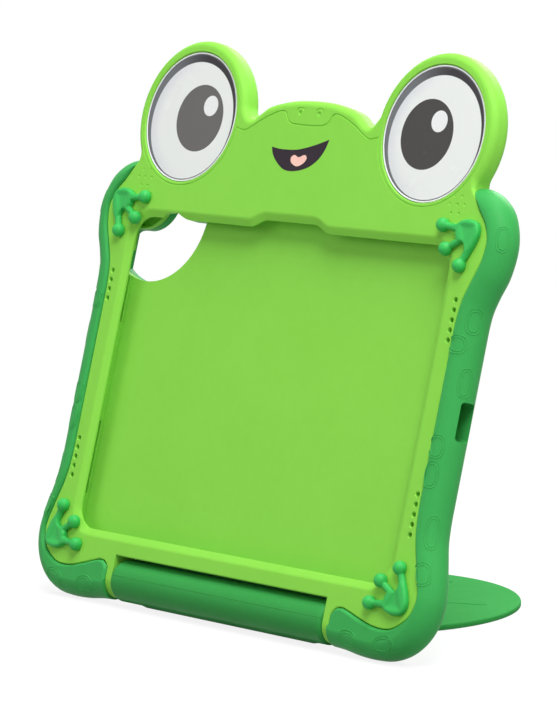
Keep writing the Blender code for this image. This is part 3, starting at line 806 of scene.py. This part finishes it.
# %% The port and the speaker holes
PORT_HALF = 9.7 * MM
PORT_BUMPER_W = (-13.8 * MM, -4.0 * MM)
PORT_SHELL_D = 5.7 * MM
PORT_CORNER_R = 2.0 * MM
POCKET_OUT = 5.9 * MM
POCKET_SPAN = (27.0 * MM, 66.0 * MM)
POCKET_FLOOR = 0.8 * MM
HOLE_R = 1.25 * MM
HOLE_PITCH = 5.0 * MM
HOLE_FIRST = 38.1 * MM
HOLE_OUT = 4.5 * MM
HOLES = 5
HOLE_CHAMFER = 0.35 * MM


def port_slot(u, w):
    """A slot with round corners that runs along u."""
    middle = (w[0] + w[1]) / 2
    shape = rounded_box(PORT_HALF, (w[1] - w[0]) / 2, PORT_CORNER_R, 8)
    return along_u("port", [(v, middle + offset) for v, offset in shape], *u)


def speaker_tools():
    """Pockets in the side walls, and the holes over them with their small chamfers."""
    pockets = []
    holes = []
    wide = HOLE_R + HOLE_CHAMFER
    steps = ((HOLE_R, -LIP_T - 1 * MM), (HOLE_R, -HOLE_CHAMFER), (wide, 0.01 * MM),
             (wide, 1 * MM))
    for side in (-1, 1):
        edge = sorted((side * (HALF_W - 1 * MM), side * (HALF_W + POCKET_OUT)))
        for end in (-1, 1):
            span = sorted(end * v for v in POCKET_SPAN)
            pockets.append(box("pocket", edge, span, (TRAY_FLOOR_W + POCKET_FLOOR, -LIP_T)))
            # The row beside the camera opening has one hole fewer
            missing = 1 if (side, end) == (-1, 1) else 0
            for k in range(HOLES - missing):
                centre = (side * (HALF_W + HOLE_OUT), end * (HOLE_FIRST + k * HOLE_PITCH))
                holes.append(turned("hole", centre, steps, 32))
    return together("pockets", pockets), together("holes", holes)


cut(inner_shell, camera_opening(), *speaker_tools(),
    prism("lip_relief", in_mm(LIP_RELIEF), -LIP_T - 1 * MM, 1 * MM))
reach = (HALF_W - 2 * MM, HALF_W + 20 * MM)
cut(inner_shell, port_slot(reach, (TRAY_FLOOR_W + 0.02 * MM, TRAY_FLOOR_W + PORT_SHELL_D)))
print("Inner shell with its openings:", len(inner_shell.data.polygons), "faces")

# %% [markdown]
# ## Engraved lines, freckles and nostrils
#
# The face is drawn with shallow grooves: a ring round each eye, a brow line that dips
# to a nose plate, freckles under the eyes and two nostrils, each a dimple under a
# small arched line. A groove is a round bar laid half into the surface and cut away.

# %% Grooves of the face
GROOVE_R = 0.55 * MM
GROOVE_W = 0.12 * MM
EYE_GROOVE_R = 37.95 * MM
EYE_GROOVE_UP = 1.0 * MM
BROW_LINE = ((-53.5, 135.2), (-47, 133.9), (-41, 136.6), (-35, 140), (-26, 144),
             (-20.4, 145.4), (-17.4, 144.5), (-16.1, 142.3), (-14.4, 140.3),
             (-11.2, 139.1), (-6.0, 138.7), (0.0, 138.6))
FRECKLES = ((-9.9, 19.2), (-4.5, 19.2), (-12.1, 15.2), (-6.8, 15.2), (-1.9, 15.2),
            (-10.0, 10.6), (-4.7, 10.6))
FRECKLE_R = 0.8 * MM
FRECKLE_D = 0.38 * MM
NOSTRIL = (7.1 * MM, HALF_H + 56.3 * MM)
NOSTRIL_R = 1.3 * MM
NOSTRIL_D = 0.7 * MM
NOSTRIL_LID_R = 2.7 * MM


def face_grooves():
    half = curve(in_mm(BROW_LINE), 5)
    line = half + [(-u, v) for u, v in reversed(half[:-1])]
    grooves = [tube("brow_line", level(line, GROOVE_W), GROOVE_R)]
    for side in (-1, 1):
        ring = circle((side * EYE_U, EYE_V + EYE_GROOVE_UP), EYE_GROOVE_R, 160)
        grooves.append(tube("eye_ring", level(ring, GROOVE_W), GROOVE_R * 0.8, closed=True))
        centre = (side * NOSTRIL[0], NOSTRIL[1] - 1.0 * MM)
        lid = arc(centre, NOSTRIL_LID_R, 155, 25, 16)
        grooves.append(tube("nostril_lid", level(lid, 0.1 * MM), 0.5 * MM))
    return grooves


def dimple(centre, radius, depth):
    shape = bmesh.new()
    bmesh.ops.create_uvsphere(shape, u_segments=20, v_segments=12, radius=radius)
    bmesh.ops.scale(shape, verts=shape.verts, vec=(1.0, 1.0, depth / radius))
    bmesh.ops.translate(shape, verts=shape.verts, vec=(*centre, 0.0))
    return solid(shape, "dimple")


def face_dimples():
    tools = []
    for side in (-1, 1):
        centre = (side * NOSTRIL[0], NOSTRIL[1] - 1.1 * MM)
        tools.append(dimple(centre, NOSTRIL_R, NOSTRIL_D))
        for du, dv in FRECKLES:
            centre = (side * (HALF_W + du * MM), HALF_H + dv * MM)
            tools.append(dimple(centre, FRECKLE_R, FRECKLE_D))
    return together("dimples", tools)


cut(inner_shell, *face_grooves(), face_dimples())
print("Inner shell with its face:", len(inner_shell.data.polygons), "faces")

# %% Eye sockets, ear bores and the corner's recess
EYE_SET_BACK = 0.5 * MM
EYE_DISC_T = 1.25 * MM
SOCKET_CHAMFER = 0.4 * MM
LENS_RECESS_D = 1.6 * MM
SHAFT_R = 2.5 * MM
LENS_RECESS = ((-125.4, 80.1), (-125.1, 81.8), (-121.6, 83.9), (-118.6, 85.0),
               (-111.4, 85.3), (-113.0, 82.6), (-118.0, 80.1))


def eye_socket(side):
    radius = EYE_DISC_R + FIT
    wide = radius + SOCKET_CHAMFER
    return turned("socket", (side * EYE_U, EYE_V), (
        (radius, -(EYE_SET_BACK + EYE_DISC_T + FIT)), (radius, -SOCKET_CHAMFER),
        (wide, 0.02 * MM), (wide, 2 * MM)))


for side in (-1, 1):
    bore = circle((AXIS_V, AXIS_W), SHAFT_R + FIT, 32)
    ends = (side * (EAR_IN - 1 * MM), side * (EAR_OUT + 1 * MM))
    cut(inner_shell, eye_socket(side), along_u("bore", bore, *ends))
recess = prism("lens_recess", closed_curve(in_mm(LENS_RECESS), 5),
               TRAY_FLOOR_W - LENS_RECESS_D, TRAY_FLOOR_W + 1 * MM)
cut(inner_shell, recess)
finished(inner_shell, "frog_shell", LIME, "case", ["inner_shell"])

# %% [markdown]
# ## The bumper
#
# The outer shell is a fat rounded rim with a flat back. Its section is an arc of a
# circle, swept round the outline by the same trick as before: each ring is the outline
# moved in by what the circle leaves at that depth.

# %% Body of the bumper
BUMPER_STEPS = 26
BUMPER_FROM = 8
FRONT_EDGE_R = 2.2 * MM
RAIL_T = 2.2 * MM
RAIL_BELOW = 1.6 * MM


def bumper_body():
    """Rings round the section, from BUMPER_FROM degrees at the front to the back."""
    rings = []
    for k in range(BUMPER_STEPS + 1):
        turn = math.radians(BUMPER_FROM + (180 - BUMPER_FROM) * k / BUMPER_STEPS)
        rings.append(level(outset(BUMPER_EDGE, -BUMPER_R * (1 - math.sin(turn))),
                           BUMPER_W + BUMPER_R * math.cos(turn)))
    return loft("bumper", rings)


def shell_seat():
    """Room for the inner shell, flared at the front to round the bumper's edge."""
    seat = outset(SHELL_EDGE, FIT)
    front = BUMPER_W + BUMPER_R
    rounded = [level(outset(seat, FRONT_EDGE_R * (1 - math.cos(turn))),
                     front - FRONT_EDGE_R * (1 - math.sin(turn))) for turn in quarter(6)]
    return loft("seat", [level(seat, SHELL_BACK_W - FIT), *rounded,
                         level(outset(seat, FRONT_EDGE_R + 0.1 * MM), 5 * MM)])


def bar_rooms():
    """Room for the bar and its ears, with a thin rail left behind the lower edge."""
    low, top, far = -(HALF_H + 71 * MM), BEZEL_V + 3.6 * MM, 40 * MM
    rail_top = SHELL_BACK_W - FIT - 0.2 * MM
    rail_back = rail_top - RAIL_T
    rail_edge = BEZEL_V - RAIL_BELOW
    profile = [(low, far), (BEZEL_V + 1 * MM, far), (BEZEL_V + 1 * MM, rail_top),
               (rail_edge, rail_top), (rail_edge, rail_back), (top, rail_back), (top, -far),
               (low, -far)]
    rooms = [along_u("bar_room", profile, -EAR_OUT, EAR_OUT)]
    for side in (-1, 1):
        ends = sorted((side * (EAR_IN - FIT), side * (EAR_OUT + FIT)))
        rooms.append(box("ear_room", ends, (low, top), (-far, far)))
    return rooms


bumper = cut(bumper_body(), shell_seat(), *bar_rooms(), camera_opening())
cut(bumper, port_slot((HALF_W, HALF_W + 40 * MM), PORT_BUMPER_W))

# %% Rooms for the hinges' anchor blocks
ANCHOR_SIZE = 9.6 * MM
ANCHOR_L = 11.0 * MM
for side in (-1, 1):
    half = ANCHOR_SIZE / 2 + FIT
    ends = sorted((side * (EAR_OUT - 1 * MM), side * (EAR_OUT + ANCHOR_L + 3 * FIT)))
    cut(bumper, box("anchor_room", ends, (AXIS_V - half, AXIS_V + half),
                    (AXIS_W - half, AXIS_W + half)))
print("Bumper:", len(bumper.data.polygons), "faces")

# %% [markdown]
# ## Spots on the bumper
#
# The frog's spots are raised oval lines, one inside the other, moulded into the
# bumper. Each is a thin tube that follows the rounded surface: a place along the rim
# and an angle round its section give every point.

# %% Raised spots
SPOT_RIDGE_R = 0.34 * MM
SPOT_SINK = 0.12 * MM
# How far each of a spot's two rings lies inside its outline, in mm
SPOT_RINGS = (0.0, 1.3)
# Centre of each spot on the rim as (u, v) in mm, its turn round the section in
# degrees, then its half length and half width in mm
SPOTS = ((152.5, 90.5, 52, 6.8, 3.6), (143.7, 48.7, 54, 6.2, 4.2), (143.6, 36.6, 17, 4.6, 5.0),
         (143.6, 18.7, 63, 7.2, 3.6), (143.5, -13.7, 14, 5.8, 4.4), (143.5, -27.4, 15, 6.6, 4.0),
         (144.0, -54.8, 50, 8.0, 3.8), (148.3, -74.5, 24, 6.0, 4.6), (100.5, -119.6, 22, 6.0, 4.8),
         (127.7, -119.2, 18, 8.0, 4.4))


def rim_lengths(outline):
    lengths = [0.0]
    for here, there in zip(outline, outline[1:] + outline[:1]):
        lengths.append(lengths[-1] + math.dist(here, there))
    return lengths


def rim_point(outline, facing, lengths, along, turn, lift):
    """Point of the bumper's surface at a length along its rim and a turn in radians."""
    along %= lengths[-1]
    k = next(k for k in range(len(outline)) if lengths[k + 1] >= along)
    share = (along - lengths[k]) / (lengths[k + 1] - lengths[k])
    after = (k + 1) % len(outline)
    here = Vector(outline[k]).lerp(Vector(outline[after]), share)
    out = facing[k].lerp(facing[after], share)
    radius = BUMPER_R + lift
    place = here - out * (BUMPER_R - radius * math.sin(turn))
    return Vector((place.x, place.y, BUMPER_W + radius * math.cos(turn)))


def spot_rings():
    outline = BUMPER_EDGE
    facing = normals(outline)
    lengths = rim_lengths(outline)
    rings = []
    for u, v, turn, half_long, half_wide in SPOTS:
        for side in (-1, 1):
            centre = (side * u * MM, v * MM)
            k = min(range(len(outline)), key=lambda j: math.dist(outline[j], centre))
            nearest = Vector(outline[k])
            direction = (Vector(outline[(k + 1) % len(outline)]) - nearest).normalized()
            middle = lengths[k] + (Vector(centre) - nearest).dot(direction)
            for shrink in SPOT_RINGS:
                path = []
                for a, b in circle((0.0, 0.0), 1.0, 40):
                    along = middle + (half_long - shrink) * MM * math.copysign(abs(a) ** 0.8, a)
                    swing = (half_wide - shrink) * MM * math.copysign(abs(b) ** 0.8, b) / BUMPER_R
                    path.append(rim_point(outline, facing, lengths, along,
                                          math.radians(turn) + swing, -SPOT_SINK))
                rings.append(tube("spot", path, SPOT_RIDGE_R, closed=True, sides=6))
    return rings


spots = together("spots", spot_rings())
cut(spots, prism("seat_again", outset(SHELL_EDGE, FIT + 0.5 * MM), -12 * MM, 6 * MM))
finished(together("bumper", [bumper, spots]), "green_bumper", GREEN, "case",
         ["outer_shell"])

# %% [markdown]
# ## Eyes and mouth
#
# The eye discs are flat plates with a fine raised rim, pressed into their sockets. The
# mouth is ink on the rubber, so it is a plate no thicker than a coat of paint.

# %% Discs, mouth and tongue
MOUTH_TOP = ((-23.2, 126.4), (-18.6, 125.7), (-12.6, 125.4), (-3.1, 125.9), (7.7, 128.5),
             (18.5, 132.1))
MOUTH_LOW = ((18.5, 132.1), (16.2, 125.8), (11.9, 120.4), (5.3, 116.5), (-3.7, 114.5),
             (-11.6, 115.1), (-18.3, 119.2), (-21.8, 123.0), (-23.2, 126.4))
TONGUE = ((-1.6, 121.9), (2.4, 123.3), (4.4, 121.6), (2.4, 118.8), (-2.1, 117.1),
          (-6.5, 118.9), (-7.3, 121.4), (-5.0, 122.9))
INK_T = 0.06 * MM
# The disc's raised rim: how far each ring lies inside its edge and above its face, in mm
DISC_RIM = ((0.0, -0.35), (0.12, -0.1), (0.4, 0.0), (0.75, -0.08), (0.9, -0.3))


def eye_disc(side):
    steps = [(EYE_DISC_R, -(EYE_SET_BACK + EYE_DISC_T))]
    steps += [(EYE_DISC_R - less * MM, -EYE_SET_BACK + lift * MM) for less, lift in DISC_RIM]
    return turned("eye_disc", (side * EYE_U, EYE_V), steps)


for side, word in ((-1, "left"), (1, "right")):
    finished(eye_disc(side), word + "_eye", EYE_PRINTS[side], "case",
             [word + "_eye_disc"])
mouth = curve(in_mm(MOUTH_TOP), 6) + curve(in_mm(MOUTH_LOW), 6)[1:-1]
finished(prism("mouth", mouth, -0.02 * MM, INK_T), "mouth", MOUTH_INK, "case")
tongue = closed_curve(in_mm(TONGUE), 6)
finished(prism("tongue", tongue, 0.0, INK_T * 1.8), "tongue", TONGUE_INK, "case")

# %% [markdown]
# ## Paws
#
# A paw is a soft blob: a palm with a raised rim, three fingers and a ball on each. The
# simplest way to such a form is to pile up plain solids, melt them together on a fine
# grid and smooth the result. The melted skin flows from finger to palm by itself.

# %% Palm, fingers and balls
PAW_T = 3.3 * MM
PAW_INSET = 1.0 * MM
PAW_RIM_R = 1.5 * MM
FINGER_R = 1.7 * MM
TOE_R = 3.6 * MM
TOE_RISE = 1.8 * MM
ROOT_SINK = 0.9 * MM
PALM = ((-4.3, 4.6), (-0.4, 7.8), (5.5, 9.2), (11.8, 7.4), (14.2, 2.0), (12.4, -4.6),
        (9.4, -9.4), (6.4, -10.2), (3.8, -4.8), (0.0, -3.4), (-2.9, -1.0), (-3.0, 2.0))
TOES = (((-12.0, 4.2), (0.5, 3.2)), ((-7.2, -7.4), (3.6, -0.8)), ((4.1, -15.0), (7.6, -7.4)))
GRID = 0.42 * MM


def knob(centre, radius):
    shape = bmesh.new()
    bmesh.ops.create_icosphere(shape, subdivisions=4, radius=radius)
    bmesh.ops.translate(shape, verts=shape.verts, vec=centre)
    return solid(shape, "knob")


def finger(root, tip):
    """A round bar that narrows from the palm to the toe."""
    ahead = (Vector(tip) - Vector(root))
    shape = bmesh.new()
    bmesh.ops.create_cone(shape, cap_ends=True, segments=32, radius1=FINGER_R * 1.25,
                          radius2=FINGER_R * 0.9, depth=ahead.length,
                          matrix=Matrix.Translation((Vector(root) + Vector(tip)) / 2)
                          @ ahead.to_track_quat("Z", "Y").to_matrix().to_4x4())
    return solid(shape, "finger")


def palm(outline):
    rings = [level(outline, -2 * MM)]
    for turn in reversed(quarter(5)):
        rings.append(level(outset(outline, -PAW_RIM_R * (1 - math.sin(turn))),
                           PAW_T - PAW_RIM_R * (1 - math.cos(turn))))
    return loft("palm", rings)


def melted(parts):
    """One soft skin round the parts, cut flat just above the panel's face."""
    blob = together("blob", parts)
    melt = blob.modifiers.new("melt", "REMESH")
    melt.mode = "VOXEL"
    melt.voxel_size = GRID
    soften = blob.modifiers.new("soften", "SMOOTH")
    soften.iterations = 6
    apply_modifiers(blob)
    shape = bmesh.new()
    shape.from_mesh(blob.data)
    bpy.data.objects.remove(blob, do_unlink=True)
    everything = shape.verts[:] + shape.edges[:] + shape.faces[:]
    bmesh.ops.bisect_plane(shape, geom=everything, dist=1e-6, plane_co=(0, 0, FIT),
                           plane_no=(0, 0, -1), clear_outer=True)
    fill_ends(shape)
    return shape


# %% The whole paw, with its palm pressed in
# The hollow of the palm is a soft triangle round the middle: for each side, its
# direction in degrees and its distance in mm
PALM_MIDDLE = (5.2, 2.0)
HOLLOW_SIDES = ((90, 4.2), (-28, 4.6), (205, 4.2))
HOLLOW_D = 0.75 * MM


def press_palm(shape, side_u, side_v):
    for vertex in shape.verts:
        across = (vertex.co.x * side_u - HALF_W) / MM - PALM_MIDDLE[0]
        height = (vertex.co.y * side_v - HALF_H) / MM - PALM_MIDDLE[1]
        shares = [max(0.0, (across * math.cos(math.radians(turn))
                            + height * math.sin(math.radians(turn))) / far)
                  for turn, far in HOLLOW_SIDES]
        reach = sum(share ** 4 for share in shares) ** 0.25
        if reach < 1.0 and vertex.co.z > PAW_T / 2:
            vertex.co.z -= HOLLOW_D * (1 - reach ** 3) ** 2


def paw(side_u, side_v):
    def place(offset):
        return (side_u * (HALF_W + offset[0] * MM), side_v * (HALF_H + offset[1] * MM))

    outline = closed_curve([place(offset) for offset in PALM], 6)
    if side_u * side_v < 0:
        outline.reverse()
    parts = [palm(outset(outline, -PAW_INSET))]
    for toe, root in TOES:
        tip = (*place(toe), TOE_RISE)
        parts.append(finger((*place(root), TOE_RISE - ROOT_SINK),
                            (*place(toe), TOE_RISE - 0.1 * MM)))
        parts.append(knob(tip, TOE_R))
    shape = melted(parts)
    press_palm(shape, side_u, side_v)
    return solid(shape, "paw")


for side, word in ((-1, "left"), (1, "right")):
    for end, name, node in ((1, "_front_paw", "_hand"), (-1, "_back_paw", "_foot")):
        finished(paw(side, end), word + name, PAW, "case", [word + node],
                 sharp=60.0)

# %% [markdown]
# ## The stand
#
# The bar turns between the ears on two friction hinges. Its lower half is one moulding
# with the round plate, and its upper front half is a cover, so a crease runs along the
# bar. Both halves come from one turned body, made by spinning a profile.

# %% The bar
BAR_R = 11.0 * MM
BAR_END_R = 2.5 * MM
BAR_HALF = 80.5 * MM
BAR_CORE_R = 7.2 * MM
BAR_SPLIT = -(LEAN + math.radians(8.0))
CREASE = 0.1 * MM
CLIP_SIZE = 9.0 * MM
CLIP_L = 18.0 * MM
CLIP_FROM_END = 3.0 * MM
CORE_FROM_CLIP = 6.0 * MM
TO_HINGE = Matrix.Translation(HINGE)


def barrel():
    """The whole bar about the X axis, spun from its profile."""
    shape = bmesh.new()
    corner = [(BAR_HALF - BAR_END_R * (1 - math.sin(turn)),
               BAR_R - BAR_END_R * (1 - math.cos(turn))) for turn in quarter(8)]
    profile = [(x, z) for x, z in corner] + [(BAR_HALF, 0.0)]
    profile = [(-x, z) for x, z in reversed(profile)] + profile
    verts = [shape.verts.new((x, 0.0, z)) for x, z in profile]
    edges = [shape.edges.new(pair) for pair in zip(verts, verts[1:])]
    bmesh.ops.spin(shape, geom=verts + edges, axis=(1, 0, 0), cent=(0, 0, 0), steps=128,
                   angle=math.tau, use_merge=True, use_duplicate=False)
    bmesh.ops.remove_doubles(shape, verts=shape.verts, dist=1e-6)
    return solid(shape, "barrel")


def bar_half(upper):
    """The part of the bar above or below its crease, hollow and with room for the clips."""
    item = barrel()
    far = 30 * MM
    low, high = (-far, CREASE / 2) if upper else (-CREASE / 2, far)
    tool = box("parting", (-BAR_HALF - far, BAR_HALF + far), (-far, far), (low, high))
    tool.data.transform(Matrix.Rotation(BAR_SPLIT, 4, "X"))
    core = BAR_HALF - CORE_FROM_CLIP - CLIP_L
    cut(item, tool, along_u("core", circle((0, 0), BAR_CORE_R, 48), -core, core))
    for side in (-1, 1):
        room = CLIP_SIZE / 2 + FIT
        outer = side * (BAR_HALF - CLIP_FROM_END + FIT)
        inner = outer - side * (CLIP_L + 2 * FIT)
        cut(item, box("room", sorted((inner, outer)), (-room, room), (-room, room)),
            along_u("bore", circle((0, 0), SHAFT_R + FIT, 32),
                    side * (core + 1 * MM), side * (BAR_HALF + 1 * MM)))
    return item


finished(bar_half(True), "bar_front", STAND, "stand", ["bar_cover"],
         place=TO_HINGE)

# %% The round plate with its neck
PAD_R = 84.8 * MM
PAD_T = 3.0 * MM
PAD_REACH = 93.3 * MM
NECK_HALF = 64.0 * MM
VEINS = 6
VEIN_FIRST = 30.0
VEIN_SPAN = (12.0 * MM, 69.0 * MM)
VEIN_R = 0.7 * MM
PAD_LOW_R = 0.6 * MM
PAD_TOP_R = 1.3 * MM


def round_plate(floor):
    """The plate, its edge rounded over, with radial veins cut into its top."""
    top = floor + PAD_T
    steps = [(PAD_R - PAD_LOW_R * (1 - math.sin(turn)), floor + PAD_LOW_R * (1 - math.cos(turn)))
             for turn in quarter(4)]
    steps += [(PAD_R - PAD_TOP_R * (1 - math.cos(turn)), top - PAD_TOP_R * (1 - math.sin(turn)))
              for turn in quarter(6)]
    pad = turned("pad", (0.0, PAD_REACH), steps)
    veins = []
    for k in range(VEINS):
        turn = math.radians(VEIN_FIRST + 360 / VEINS * k)
        path = [Vector((reach * math.cos(turn), PAD_REACH + reach * math.sin(turn),
                        top + 0.15 * MM)) for reach in VEIN_SPAN]
        veins.append(tube("vein", path, VEIN_R))
    return cut(pad, together("veins", veins))


def stand_moulding():
    """The bar's lower half, the neck behind it and the plate, as one piece."""
    item = bar_half(False)
    floor = -HINGE.z
    top = floor + PAD_T
    neck = [(-4.0 * MM, -BAR_R * 0.9), (1.0 * MM, floor + 0.35 * MM), (5.0 * MM, floor),
            (16.0 * MM, floor), (16.0 * MM, top), (13.5 * MM, top), (12.0 * MM, top + 0.3 * MM),
            (10.8 * MM, top + 1.0 * MM), (9.8 * MM, top + 2.2 * MM), (9.1 * MM, top + 3.6 * MM),
            (8.6 * MM, top + 5.0 * MM), (0.0, -4.0 * MM - CLIP_SIZE / 2)]
    add(item, along_u("neck", neck, -NECK_HALF, NECK_HALF))
    plan = curve([(NECK_HALF, 13.0 * MM), (NECK_HALF - 6 * MM, 20.0 * MM),
                  (NECK_HALF - 12 * MM, 30.0 * MM), (NECK_HALF - 17 * MM, 45.0 * MM)])
    plan += [(-u, y) for u, y in reversed(plan)]
    pad = round_plate(floor)
    add(pad, prism("web", plan, floor, top))
    return add(item, pad)


finished(stand_moulding(), "stand_and_plate", STAND, "stand", ["stand"],
         place=TO_HINGE)

# %% Finish for the hinge parts that stay as they are
for side in ("left", "right"):
    for part, material in (("shaft", STEEL), ("clip", STEEL), ("anchor", GREY)):
        mesh = frame["nodes"][side + "_hinge_" + part].data
        for index in range(len(mesh.materials)):
            mesh.materials[index] = material
print("Hinge parts finished:", sorted(name for name in frame["nodes"] if "hinge" in name))

# %% [markdown]
# ## Floor, light and background
#
# A white sweep and a few large soft lamps show a matt moulding best. The main lamp
# hangs above and to the right of the camera, which leaves the soft shade on the lower
# left of every ball. The background's white comes from the floor's own colour and from
# what the camera sees of the world, so the lamps never need to be turned up for it.

# %% Floor and world
FLOOR_GLOW = 0.85
FLOOR_R = 3.0
FADE_FROM, FADE_SOFT = 0.42, 0.26


def rays(tree, *kinds):
    """Masks that are 1 for camera, glossy or transmission rays."""
    path = tree.nodes.new("ShaderNodeLightPath")
    return [Wire(tree, path.outputs["Is " + kind + " Ray"]) for kind in kinds]


def floor_material():
    material = bpy.data.materials.new("studio_floor")
    material.use_nodes = True
    tree = material.node_tree
    tree.nodes.clear()
    seen, mirror = rays(tree, "Camera", "Glossy")
    place = Wire(tree, tree.nodes.new("ShaderNodeTexCoord").outputs["Object"])
    reach = place.node("ShaderNodeVectorMath", {"operation": "LENGTH"}, {0: place}, output=1)
    fade = step(reach, FADE_FROM, FADE_SOFT)
    direct = seen.maths("MINIMUM", seen + mirror, 1.0)
    glow = direct * (FLOOR_GLOW + (1.0 - FLOOR_GLOW) * fade)
    paint = mixed(seen, (0.3, 0.3, 0.3, 1.0), (0.9, 0.9, 0.9, 1.0))
    matt = seen.node("ShaderNodeBsdfDiffuse", {}, {"Color": paint})
    bright = seen.node("ShaderNodeEmission", {}, {"Color": (1.0, 1.0, 1.0, 1.0),
                                                  "Strength": 1.0})
    both = seen.node("ShaderNodeMixShader", {}, {0: glow, 1: matt, 2: bright})
    end = tree.nodes.new("ShaderNodeOutputMaterial")
    tree.links.new(both.socket, end.inputs["Surface"])
    return material


shape = bmesh.new()
bmesh.ops.create_circle(shape, cap_ends=True, segments=96, radius=FLOOR_R)
floor = solid(shape, "floor")
floor.data.materials.append(floor_material())

world = bpy.data.worlds.new("studio")
bpy.context.scene.world = world
world.use_nodes = True
tree = world.node_tree
tree.nodes.clear()
seen, glossy, through = rays(tree, "Camera", "Glossy", "Transmission")
white = seen.maths("MINIMUM", seen + glossy + through, 1.0)
soft = seen.node("ShaderNodeBackground", {}, {"Color": (0.93, 0.95, 1.0, 1.0), "Strength": 0.12})
plain = seen.node("ShaderNodeBackground", {}, {"Color": (1.0, 1.0, 1.0, 1.0), "Strength": 1.0})
sky = seen.node("ShaderNodeMixShader", {}, {0: white, 1: soft, 2: plain})
tree.links.new(sky.socket, tree.nodes.new("ShaderNodeOutputWorld").inputs["Surface"])
print("World and floor are in place")

# %% Lamps
def lamp(name, place, size, watts):
    light = bpy.data.lights.new(name, "AREA")
    light.shape = "DISK"
    light.size = size
    light.energy = watts
    item = bpy.data.objects.new(name, light)
    item.location = place
    item.rotation_euler = (MIDDLE - Vector(place)).to_track_quat("-Z", "Y").to_euler()
    bpy.context.scene.collection.objects.link(item)
    return item


lamp("key", (1.0, -0.7, 2.0), 1.1, 38)
lamp("top", (0.1, 0.1, 2.3), 1.2, 27)
lamp("fill", (-0.9, -1.8, 1.0), 1.4, 10)
lamp("right", (1.9, 0.2, 0.9), 1.2, 10)
lamp("front", (1.3, -1.6, 0.7), 1.2, 4)
lamp("back", (-0.6, 1.6, 1.4), 1.2, 30)
bpy.context.scene.view_settings.view_transform = "Standard"
print("Six lamps")
